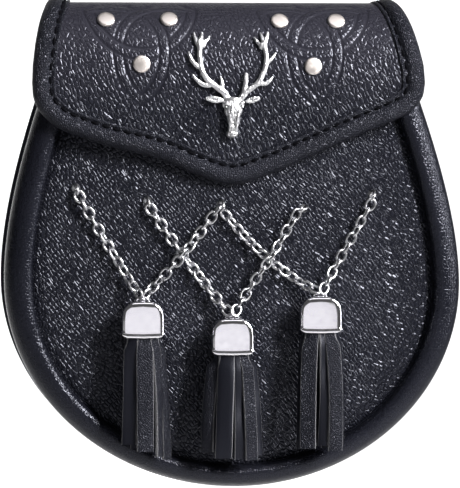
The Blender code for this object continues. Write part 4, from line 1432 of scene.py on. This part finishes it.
INSIDE_RINGS = 13  # rings of the smoothed profile that lie inside the cup
BAIL_HALF_WIDTH = 2.6 * MM
BAIL_RISE = 1.8 * MM
BAIL_SINK = 0.4 * MM  # how deep its ends sit in the cap's top
BAIL_WIRE = 0.5 * MM
BAIL_STEPS = 24
print("caps at", [tuple(round(value / MM, 1) for value in row) for row in TASSELS])


# %% Build the caps
def cap_frame(x, bottom_z):
    """Frame of a tassel: its origin is in the middle of the cap's mouth."""
    back = panel_front_y(x, bottom_z + CAP_HEIGHT / 2) - 2 * GAP
    return Matrix.Translation((x, back - CAP_HALF_WIDTH * CAP_DEPTH_RATIO, bottom_z))


def squared(x, y, power):
    """Move a point of the unit circle out to a superellipse."""
    return tuple(math.copysign(abs(value) ** (2 / power), value) for value in (x, y))


def cap_ring(radius, height, inside):
    """One ring of a cap: domed behind, and pressed nearly flat in front."""
    lip = radius / BODY_WIDTH if height < LIP_TOP and not inside else 1.0
    up = min(max(height - ARCH_FOOT, 0.0) / (1 - ARCH_FOOT), ARCH_TOP)
    flat_at = CAP_FLAT_FRONT * lip - (CAP_WALL if inside else 0.0)
    reach = radius * CAP_HALF_WIDTH
    domed_at = reach * CAP_DEPTH_RATIO
    ring = []
    for side, (x, y) in enumerate(circle(CAP_SIDES)):
        behind = side <= CAP_SIDES // 2
        across, out = squared(x, y, CAP_SQUARENESS if behind else FRONT_SQUARENESS)
        if behind:
            depth = out * domed_at
        elif inside:
            depth = out * min(domed_at, flat_at)
        else:
            beside = abs(across) * min(radius / BODY_WIDTH, 1.0)
            to_rim = beside ** ARCH_SQUARENESS + up ** ARCH_SQUARENESS
            to_rim = min(to_rim, 1.0) ** (FRONT_SQUARENESS / ARCH_SQUARENESS)
            depth = -flat_at * (1 - to_rim) ** ROLL_OVER_POWER
        lift = CORNER_LIFT * abs(across) ** CORNER_POWER * (1 - height)
        ring.append(Vector((across * reach, depth, height * CAP_HEIGHT + lift)))
    return ring


def add_cap(number, x, bottom_z):
    frame_at = cap_frame(x, bottom_z)
    loops = []
    for order, (radius, height) in enumerate(refined(CAP_PROFILE, 3)):
        ring = cap_ring(radius, height, order < INSIDE_RINGS)
        loops.append([frame_at @ spot for spot in ring])
    cap = lofted("tassel_cap_%d_dome" % number, loops, polished_silver, crease=50.0)
    arch = []
    for step in range(BAIL_STEPS + 1):
        angle = math.pi * step / BAIL_STEPS
        rise = CAP_HEIGHT - BAIL_SINK + BAIL_RISE * math.sin(angle)
        arch.append(frame_at @ Vector((-BAIL_HALF_WIDTH * math.cos(angle), 0.0, rise)))
    bail = add_piece("bail", bar(arch, [BAIL_WIRE] * len(arch), 12), chain_metal)
    cap.data.materials.append(chain_metal)
    return combine(cap, [bail], "UNION")


for number, (x, bottom_z) in enumerate(TASSELS, start=1):
    dress(add_cap(number, x, bottom_z), "polished_silver", "tassel_cap_%d" % number)

# %% [markdown]
# ## Chains
# The chain is a plain cable chain: oval links, each turned a quarter round from its neighbour.
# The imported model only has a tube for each, because the links are finer than its faces. Here
# every link is a real closed ring that holds the next one. The pitch of the chain is the inside
# length of a link, so neighbours just touch. A chain that lies on leather rolls as it likes, so
# each row of the table gives its roll at four places along it.

# %% Table of the chains
CHAINS = (
    # hole, tassel, over (where it passes over another chain), then in millimetres the first
    # link's place beside and below the hole and the sag, then the roll at ROLL_PLACES
    (0, 0, None, 1.2, 3.2, 0.6, (0.0, 12.0, 42.0, 50.0)),
    (2, 0, 0.52, -1.9, 2.2, 1.4, (80.0, 128.0, 100.0, 135.0)),
    (1, 1, None, 1.2, 3.4, 1.2, (0.0, 6.0, 40.0, 8.0)),
    (3, 1, 0.45, -3.4, 2.4, 0.4, (-24.0, -22.0, -10.0, -4.0)),
    (2, 2, None, 1.9, 4.3, 3.3, (40.0, 45.0, 45.0, 38.0)),
    (4, 2, None, -1.0, 4.1, 0.2, (-10.0, -22.0, -20.0, -12.0)),
)
CHAIN_OFF_PANEL = 2.2 * MM  # from the panel's face to a chain's middle line
CHAIN_CROSSING_LIFT = 4.0 * MM
CHAIN_CROSSING_REACH = 9.0 * MM
CHAIN_LEAVES_PANEL = 0.6  # part of its length after which it runs out to its bail
CHAIN_END_SPREAD = 0.7 * MM  # two chains grip a bail this far either side of its middle
CHAIN_STEPS = 40
LINK_LENGTH = 6.2 * MM
LINK_WIDTH = 5.0 * MM
LINK_WIRE = 0.615 * MM  # radius of the wire
LINK_PITCH = LINK_LENGTH - 4 * LINK_WIRE
LINK_SQUARENESS = 2.25
LINK_POINTS = 26  # round the ring
WIRE_SIDES = 10
LINK_WOBBLE = 5.0  # degrees by which links lie unevenly
ROLL_PLACES = (0.0, 1 / 3, 2 / 3, 1.0)  # parts of a chain's length
print("chain pitch %.2f mm" % (LINK_PITCH / MM))


# %% Lay the chains
def chain_route(hole, tassel, over, beside, below, sag):
    """Middle line of a chain, from its first link below the hole to its last, on the bail."""
    hole_x, hole_z = HOLES[hole]
    tassel_x, bottom_z = TASSELS[tassel]
    way = 1.0 if tassel_x > hole_x else -1.0
    start = Vector((hole_x + beside * MM, 0.0, hole_z - below * MM))
    bail_top = bottom_z + CAP_HEIGHT - BAIL_SINK + BAIL_RISE
    grip = Vector((tassel_x - way * CHAIN_END_SPREAD, 0.0, bail_top))
    end = grip + (start - grip).normalized() * LINK_PITCH / 2
    end_y = cap_frame(tassel_x, bottom_z).translation.y
    length = (end - start).length
    points = []
    for step in range(CHAIN_STEPS + 1):
        share = step / CHAIN_STEPS
        place = start.lerp(end, share)
        place.z -= sag * MM * 4 * share * (1 - share)
        rest_y = panel_front_y(place.x, place.z) - CHAIN_OFF_PANEL
        settle = max(0.0, (share - CHAIN_LEAVES_PANEL) / (1 - CHAIN_LEAVES_PANEL)) ** 2
        place.y = rest_y + (end_y - rest_y) * settle
        if over is not None:
            away = (share - over) * length / CHAIN_CROSSING_REACH
            place.y -= CHAIN_CROSSING_LIFT * math.exp(-away ** 2)
        points.append(tuple(place))
    return points


def link_part():
    """One oval ring in the XY plane with its long side along X."""
    half = LINK_LENGTH / 2 - LINK_WIRE
    side = LINK_WIDTH / 2 - LINK_WIRE
    up = Vector((0.0, 0.0, 1.0))
    points = []
    for spoke in circle(LINK_POINTS):
        x, y = squared(*spoke, LINK_SQUARENESS)
        points.append(Vector((x * half, y * side, 0.0)))
    loops = []
    for index, point in enumerate(points):
        along = (points[(index + 1) % LINK_POINTS] - points[index - 1]).normalized()
        outwards = along.cross(up)
        loops.append([point + (outwards * x + up * y) * LINK_WIRE for x, y in circle(WIRE_SIDES)])
    builder = bmesh.new()
    loft(builder, loops + loops[:1], capped=False)
    return add_piece("link", builder, chain_metal, crease=180.0)


def link_frame(place, along, roll):
    """Frame of a link that lies along a direction and is rolled about it by some degrees."""
    straight = frame_along(Vector(place), along, FORWARDS)
    return straight @ Matrix.Rotation(math.radians(roll), 4, "X")


link = link_part()
for number, (*route, rolls) in enumerate(CHAINS, start=1):
    places = even_path(chain_route(*route), LINK_PITCH)
    last = len(places) - 1
    wobble = np.random.default_rng(number).normal(0.0, LINK_WOBBLE, len(places))
    frames = []
    for index, place in enumerate(places):
        along = Vector(places[min(index + 1, last)]) - Vector(places[max(index - 1, 0)])
        roll = np.interp(index / last, ROLL_PLACES, rolls) + 90.0 * (index % 2) + wobble[index]
        frames.append(link_frame(place, along, roll))
    chain = repeat("chain_%d_links" % number, link, frames, chain_metal)
    print("chain", number, "has", len(frames), "links")
    dress(chain, "chain_metal", "chain_%d" % number)

# %% The link in each hole that the chains hang from
HOLE_LINKS = (
    # hole, way it points to the right and down as it leaves the leather, roll
    (0, 0.25, 1.0, 78.0),
    (1, 0.25, 1.0, 84.0),
    (2, 0.25, 1.0, 62.0),
    (3, -1.0, 0.45, 80.0),
    (4, -0.2, 1.0, 70.0),
)
HOLE_LINK_LIFT = 0.2 * MM  # its middle lies this far before the panel's face
HOLE_LINK_SHIFT = 0.6 * MM  # and then this far along its own way
hole_frames = []
for hole, right, down, roll in HOLE_LINKS:
    x, z = HOLES[hole]
    way = Vector((right, -1.0, -down)).normalized()
    place = Vector((x, panel_front_y(x, z) - HOLE_LINK_LIFT, z)) + way * HOLE_LINK_SHIFT
    hole_frames.append(link_frame(place, way, roll))
dress(repeat("hole_links", link, hole_frames, chain_metal), "chain_metal")
bpy.data.objects.remove(link)

# %% [markdown]
# ## Tassel fringes
# A fringe is one piece of hide cut into strips and rolled up inside the cap. Some strips turn
# their pebbled face to the viewer and some their smooth one, and the cut edges show paler,
# where the dye didn't reach. The tables give the strips that show, tassel by tassel; a few
# more behind them fill the bundle.

# %% Table of the strips
STRIP_THICK = 1.5 * MM
# Millimetres from the middle of the cap's mouth: x at the top, half way and at the end, y at
# the top and the end, width, z of the end, then the turn at the top and the end in degrees,
# and 1 where the pebbled face looks out.
STRIPS = (
    (
        (-4.9, -5.3, -5.9, -4.2, -5.5, 6.0, -43.7, -14, -8, 0),
        (0.4, 0.6, 0.6, -5.0, -7.4, 7.0, -46.5, 4, 8, 1),
        (4.6, 6.2, 6.6, -4.0, -5.6, 4.2, -48.7, 38, 52, 1),
        (6.6, 8.9, 9.7, -1.5, -3.4, 4.0, -50.2, 40, 34, 1),
        (6.3, 7.6, 8.2, 1.2, -0.4, 4.0, -49.3, 60, 66, 0),
        (-1.6, -2.2, -2.6, -1.5, -2.0, 5.0, -45.7, 8, -8, 0),
        (3.2, 3.6, 4.0, 0.6, 0.2, 5.0, -47.7, -10, 6, 0),
        (-4.6, -5.4, -6.2, 2.0, 1.8, 5.0, -44.7, -20, -28, 0),
        (1.2, 1.2, 1.2, 3.0, 3.4, 5.2, -46.2, 5, 0, 0),
    ),
    (
        (-6.8, -9.6, -10.6, -2.2, -3.6, 5.4, -40.0, -30, -22, 1),
        (-2.6, -3.4, -4.2, -5.2, -7.2, 7.0, -42.4, -12, -4, 0),
        (2.4, 2.6, 2.7, -4.6, -5.4, 4.4, -43.0, 18, 6, 0),
        (5.4, 6.7, 7.7, -4.2, -6.0, 5.2, -43.4, 14, 18, 1),
        (7.2, 9.3, 10.6, -1.2, -2.6, 4.8, -41.6, 44, 36, 0),
        (-5.2, -6.4, -7.4, 0.8, 0.0, 5.2, -40.6, -20, -26, 0),
        (0.0, 0.2, 0.0, -0.8, -1.4, 5.4, -42.0, 6, -6, 0),
        (4.8, 5.6, 6.2, 1.8, 1.6, 5.2, -42.0, 18, 28, 0),
        (-1.6, -1.8, -2.0, 3.2, 3.4, 5.4, -41.0, -4, 0, 0),
    ),
    (
        (-4.2, -5.4, -5.6, -4.4, -6.0, 6.6, -47.7, -16, -6, 1),
        (0.6, 1.4, 0.6, -4.6, -5.2, 4.2, -46.5, 36, -18, 0),
        (4.0, 5.8, 5.6, -4.4, -6.6, 6.0, -48.7, 10, 4, 1),
        (6.8, 8.2, 7.8, -1.6, -3.4, 4.0, -47.1, 48, 40, 0),
        (-6.4, -7.6, -7.9, -1.0, -2.0, 4.4, -48.1, -52, -44, 0),
        (-2.2, -2.6, -3.0, -0.8, -1.4, 5.2, -47.1, -8, 8, 0),
        (3.0, 3.4, 3.2, 0.4, 0.0, 5.2, -48.1, 12, -4, 0),
        (-4.4, -5.0, -5.4, 2.2, 2.0, 5.0, -47.1, -20, -28, 0),
        (1.6, 1.6, 1.4, 3.2, 3.6, 5.2, -47.6, 5, 0, 0),
    ),
)
# Corners of a strip's section: across as a part of its half width, then in from that in
# millimetres, out as a part of its half thickness, and 1 on the cut edge.
STRIP_SECTION = (
    (-1.0, 0.3, -1.0, 0), (-0.4, 0.0, -1.0, 0), (0.4, 0.0, -1.0, 0), (1.0, 0.3, -1.0, 0),
    (1.0, 0.1, -0.85, 1), (1.0, 0.0, -0.5, 1), (1.0, 0.0, 0.5, 1), (1.0, 0.1, 0.85, 1),
    (1.0, 0.3, 1.0, 0), (0.4, 0.0, 1.0, 0), (-0.4, 0.0, 1.0, 0), (-1.0, 0.3, 1.0, 0),
    (-1.0, 0.1, 0.85, 1), (-1.0, 0.0, 0.5, 1), (-1.0, 0.0, -0.5, 1), (-1.0, 0.1, -0.85, 1),
)
HEAD_TOP = 7.0 * MM
HEAD_RADIUS = CAP_HALF_WIDTH * 0.86
HEAD_PROFILE = ((HEAD_RADIUS, -0.3 * MM), (HEAD_RADIUS, HEAD_TOP * 0.8),
                (HEAD_RADIUS * 0.7, HEAD_TOP))
MOUTH_HALF_WIDTH = 7.2  # millimetres; above the mouth the strips stay inside this
MOUTH_HALF_DEPTH = 4.9
DRAW_IN_BELOW = 5.0  # they are drawn in from this far below the mouth
DRAW_IN_EASE = 4.0
STRIP_STEPS = 26
STRIP_TOP = HEAD_TOP / MM * 0.5  # millimetres above the mouth
SWAY = 0.35  # millimetres by which a strip waves forwards and back
CUP = 0.35  # millimetres by which it cups across its width
TWIST = 5.0  # degrees by which its turn wavers
print("strips in each fringe:", [len(rows) for rows in STRIPS])


# %% Build the fringes
def keep_inside(corner):
    """Draw a point of a strip in, from just below the cap's mouth upwards."""
    across = abs(corner.x) / MOUTH_HALF_WIDTH
    out = abs(corner.y) / MOUTH_HALF_DEPTH
    beyond = (across ** 3 + out ** 3) ** (1 / 3)
    if beyond <= 1.0:
        return corner
    share = min(max((corner.z + DRAW_IN_BELOW) / DRAW_IN_EASE, 0.0), 1.0)
    scale = 1 + (1 / beyond - 1) * share
    return Vector((corner.x * scale, corner.y * scale, corner.z))


def strip_loops(row, seed):
    """The sections of one strip from its top down, in millimetres."""
    top_x, half_x, end_x, top_y, end_y, width, end_z, top_turn, end_turn, _ = row
    slope = 4 * half_x - 3 * top_x - end_x
    bend = 2 * (top_x + end_x - 2 * half_x)
    loops = []
    for step in range(STRIP_STEPS + 1):
        share = step / STRIP_STEPS
        x = top_x + slope * share + bend * share ** 2
        y = top_y + (end_y - top_y) * math.sin(share * math.pi / 2)
        y += SWAY * math.sin(4.0 * share * math.pi + seed)
        z = STRIP_TOP + (end_z - STRIP_TOP) * share
        turn = top_turn + (end_turn - top_turn) * share + TWIST * math.sin(5.0 * share + 2.1 * seed)
        around = Matrix.Rotation(math.radians(turn), 3, "Z")
        cup = CUP * math.sin(3.0 * share + seed)
        loop = []
        for side, inwards, out, _ in STRIP_SECTION:
            sideways = side * width / 2 - math.copysign(inwards, side)
            bow = cup * ((2 * sideways / width) ** 2 - 0.4)
            corner = around @ Vector((sideways, out * STRIP_THICK / MM / 2 + bow, 0.0))
            loop.append(keep_inside(Vector((x, y, z)) + corner))
        loops.append(loop)
    return loops


def add_fringe(number, x, bottom_z, rows):
    frame_at = cap_frame(x, bottom_z)
    masks = []
    builder = bmesh.new()
    for order, row in enumerate(rows):
        loops = strip_loops(row, order + 3 * number)
        loft(builder, [[frame_at @ (corner * MM) for corner in loop] for loop in loops])
        masks += [(corner[-1], row[-1]) for corner in STRIP_SECTION] * len(loops)
    strip_points = len(builder.verts)
    turned(builder, HEAD_PROFILE, 32, frame_at, CAP_DEPTH_RATIO)
    masks += [(0, 0)] * (len(builder.verts) - strip_points)
    cut = builder.verts.layers.float.new("cut")
    grained = builder.verts.layers.float.new("grained")
    for vertex, (cut_value, grained_value) in zip(builder.verts, masks):
        vertex[cut] = cut_value
        vertex[grained] = grained_value
    return add_piece("tassel_fringe_%d_strips" % number, builder, fringe_leather, crease=50.0)


for number, ((x, bottom_z), rows) in enumerate(zip(TASSELS, STRIPS), start=1):
    dress(add_fringe(number, x, bottom_z, rows), "fringe_leather", "tassel_fringe_%d" % number)

# %% [markdown]
# ## Belt loops and hidden fastenings
# The back can't be seen in the photograph, so it is kept plain: two leather loops take a belt
# or the chain strap that a sporran hangs from. Each is a bent strip with a row of stitches
# through both of its feet. The closure stud and the pins that hold the chains stay as the
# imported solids, with a metal finish.

# %% Belt loops
LOOP_SECTION = (
    # millimetres behind the back panel's rear face, and up from the loop's middle
    (2.5, 17.2), (2.5, 14.8), (3.2, 13.6), (8.5, 12.9), (10.6, 12.3), (11.6, 11.2),
    (12.0, 9.6), (12.0, 0.0),
)
LOOP_THICK = 2.2 * MM
LOOP_WIDTH = 22.0 * MM
LOOP_PLACE_X = 40.0 * MM
EDGE_INSETS = (0.0 * MM, 0.25 * MM, 0.6 * MM)  # rings close to an edge keep it crisp
LOOP_OFF_PANEL = 0.3 * MM  # its inside comes no nearer to the panel than this
SHOULDER = (9 * MM, 16 * MM)  # between these heights the inside of the bend is drawn in
SHOULDER_IN = 0.9 * MM
FOOT_Z = 15.9 * MM  # height of the stitches through a foot
FOOT_FACE = 2.5 * MM  # how far behind the panel they lie
FOOT_PITCH = 4.2 * MM


def loop_outline():
    """Closed section of a belt loop as (y, z): out along its face and back along its inside."""
    upper = [(y * MM, z * MM) for y, z in refined(LOOP_SECTION, 3)]
    face = upper + [(y, -z) for y, z in reversed(upper[:-1])]
    inner = []
    for y, z in face:
        drawn_in = SHOULDER_IN if SHOULDER[0] < abs(z) < SHOULDER[1] else 0.0
        inner.append((max(y - LOOP_THICK, LOOP_OFF_PANEL), z - math.copysign(drawn_in, z)))
    return face + inner[::-1]


def add_belt_loop(name, centre_x):
    half = LOOP_WIDTH / 2
    left = [inset - half for inset in EDGE_INSETS]
    right = [half - inset for inset in reversed(EDGE_INSETS)]
    loops = []
    for across in left + right:
        loops.append([(centre_x + across, back_high.y + y, z) for y, z in loop_outline()])
    return lofted(name, loops, loop_leather)


loop_leather = leather("loop_leather", 0.8 * MM, 1.2, 0.03 * MM, 0.45)
loop_frames = []
for node, loop_x in (("belt_loop_left", -LOOP_PLACE_X), ("belt_loop_right", LOOP_PLACE_X)):
    dress(add_belt_loop(node + "_leather", loop_x), "loop_leather", node)
    for row_z in (FOOT_Z, -FOOT_Z):
        for count in range(-2, 3):
            spot = Vector((loop_x + count * FOOT_PITCH, back_high.y + FOOT_FACE, row_z))
            loop_frames.append(frame_along(spot, TO_RIGHT, BACKWARDS))
stitch = stitch_part(*FOOT_STITCH)
sew("loop_stitches", stitch, loop_frames, 0.05, 6)
bpy.data.objects.remove(stitch)

# %% [markdown]
# ## Metal left as packed
# Two kinds of fastening are simple turned parts already: the closure stud under the flap and
# the pins behind the chain holes. Only their finish changes.

# %% Finish of the kept solids
steel = metal("anchor_metal", (0.60, 0.60, 0.62), (0.45, 0.45, 0.47), 0.35, 0.003 * MM)
press_stud = metal("closure_metal", (0.72, 0.71, 0.70), (0.60, 0.59, 0.58), 0.25, 0.002 * MM)
finishes = {"closure_stud": press_stud}
for number in range(1, len(HOLES) + 1):
    finishes["chain_anchor_%d" % number] = steel
for node, skin in finishes.items():
    skins = bpy.data.objects[node].data.materials
    skins.clear()
    skins.append(skin)
print("kept solids:", list(finishes))

# %% [markdown]
# ## Stage
# The pouch hangs before a white studio cove. The cove is one sheet: a floor that curves up into
# a wall, so no corner shows. A mask lets it glow, as a wall does when it has its own lamps. The
# glow is full only behind the pouch. The rest is dim, because a bright wall all round would
# whiten the fold and the sides.

# %% Cove
FLOOR_Z = -0.30  # metres, like everything about the cove
FLOOR_END_Y = 0.80
CURVE_START_Y = 0.9
CURVE_RADIUS = 0.5
CURVE_STEPS = 16
WALL_Y = CURVE_START_Y + CURVE_RADIUS
STATIONS = (-3.0, -0.6, -0.25, 0.42, 0.55, 3.0)
FLOOR_GLOW = 0.16
GLOW_EASE = 0.18  # the glow grows from the floor's end over this depth
DIM_GLOW = 0.25  # of the wall above the pouch and to its left
DIM_ABOVE = 0.4
DIM_LEFT_OF = -0.5
DARK_RIGHT_OF = 0.45
COVE_WHITE = (0.85, 0.85, 0.85, 1.0)


def cove_glow(x, y, z):
    """The glow at a place: full on the wall behind the pouch, none at the right."""
    if x > DARK_RIGHT_OF:
        return 0.0
    if z > DIM_ABOVE or x < DIM_LEFT_OF:
        return DIM_GLOW
    return min(max((y - FLOOR_END_Y) / GLOW_EASE, FLOOR_GLOW), 1.0)


def add_cove():
    profile = [(-3.0, FLOOR_Z), (0.55, FLOOR_Z), (FLOOR_END_Y, FLOOR_Z)]
    for step in range(CURVE_STEPS + 1):
        angle = math.pi / 2 * step / CURVE_STEPS
        profile.append((CURVE_START_Y + CURVE_RADIUS * math.sin(angle),
                        FLOOR_Z + CURVE_RADIUS * (1 - math.cos(angle))))
    profile += [(WALL_Y, 0.45), (WALL_Y, 2.6)]
    builder = bmesh.new()
    rows = [[builder.verts.new((x, y, z)) for x in STATIONS] for y, z in profile]
    for near, far in zip(rows, rows[1:]):
        for corners in zip(near, near[1:], far[1:], far):
            builder.faces.new(corners)
    glow = builder.verts.layers.float.new("glow")
    for vertex in builder.verts:
        vertex[glow] = cove_glow(*vertex.co)
    mesh = bpy.data.meshes.new("cove")
    builder.to_mesh(mesh)
    builder.free()
    mesh.shade_smooth()
    skin, shader, place = new_skin("cove_white")
    lit = place.painted("glow").blend((0.0, 0.0, 0.0, 1.0), (1.0, 1.0, 1.0, 1.0))
    fill(shader, {"Base Color": COVE_WHITE, "Roughness": 0.9, "Emission Color": lit,
                  "Emission Strength": 1.0})
    mesh.materials.append(skin)
    return add_object("cove", mesh)


cove = add_cove()
print("cove: wall at y = %.2f m" % WALL_Y)

# %% [markdown]
# ## Light and camera
# The key softbox stands to the right and above, so it rakes across the pebbles and gives each
# a glint on one side. A narrow strip beside it draws the bright line down the right of the
# roll. A white card before the pouch is what the flat fronts of the caps and studs mirror, and
# a card overhead gives the fold its pale sheen. The camera stands a little left of straight on
# and a little above.

# %% Lights
AIM = Vector((-0.8 * MM, -41.0 * MM, -66.6 * MM))
WORLD_STRENGTH = 0.07
SOFTBOXES = (
    # name, azimuth, elevation, distance, width, height, watts, spread, colour
    ("key_softbox", 43.0, 29.0, 1.5, 0.30, 0.9, 4.7, 40.0, (1.0, 0.99, 0.98)),
    ("side_strip", 80.0, 12.0, 0.9, 0.12, 0.8, 0.8, 60.0, (0.97, 0.97, 1.0)),
    ("front_card", -4.0, -2.5, 1.9, 1.09, 0.53, 1.5, 180.0, (0.97, 0.955, 1.0)),
    ("top_card", 5.0, 66.0, 1.5, 0.8, 0.8, 3.0, 180.0, (0.98, 0.97, 1.0)),
)


def face_pouch(thing, azimuth, elevation, distance):
    """Stand a lamp or the camera round the pouch, facing it. Azimuth 0 is straight in front."""
    turn = math.radians(azimuth)
    rise = math.radians(elevation)
    level = math.cos(rise)
    way = Vector((math.sin(turn) * level, -math.cos(turn) * level, math.sin(rise)))
    thing.location = AIM + way * distance
    thing.rotation_euler = way.to_track_quat("Z", "Y").to_euler()


for name, azimuth, elevation, distance, width, height, watts, spread, colour in SOFTBOXES:
    lamp = bpy.data.lights.new(name, "AREA")
    lamp.shape = "RECTANGLE"
    lamp.size = width
    lamp.size_y = height
    lamp.energy = watts
    lamp.color = colour
    lamp.spread = math.radians(spread)
    face_pouch(add_object(name, lamp), azimuth, elevation, distance)
world = bpy.data.worlds.new("studio")
world.use_nodes = True
background = world.node_tree.nodes["Background"]
fill(background, {"Color": (1.0, 1.0, 1.0, 1.0), "Strength": WORLD_STRENGTH})
bpy.context.scene.world = world
bpy.context.scene.view_settings.view_transform = "Standard"
print("lights:", [row[0] for row in SOFTBOXES])

# %% Camera
CAMERA_AZIMUTH = -5.5
CAMERA_ELEVATION = 2.45
CAMERA_DISTANCE = 1.25
SENSOR_HEIGHT = 24.0
PICTURE_ROWS = 488
MM_PER_ROW = 0.415  # of the pouch's front
FRAME_HEIGHT = PICTURE_ROWS * MM_PER_ROW * MM

lens = bpy.data.cameras.new("camera")
lens.sensor_fit = "VERTICAL"
lens.sensor_height = SENSOR_HEIGHT
lens.lens = SENSOR_HEIGHT * CAMERA_DISTANCE / FRAME_HEIGHT
camera = add_object("camera", lens)
face_pouch(camera, CAMERA_AZIMUTH, CAMERA_ELEVATION, CAMERA_DISTANCE)
bpy.context.scene.camera = camera
print("camera lens %.0f mm at %.2f m" % (lens.lens, CAMERA_DISTANCE))
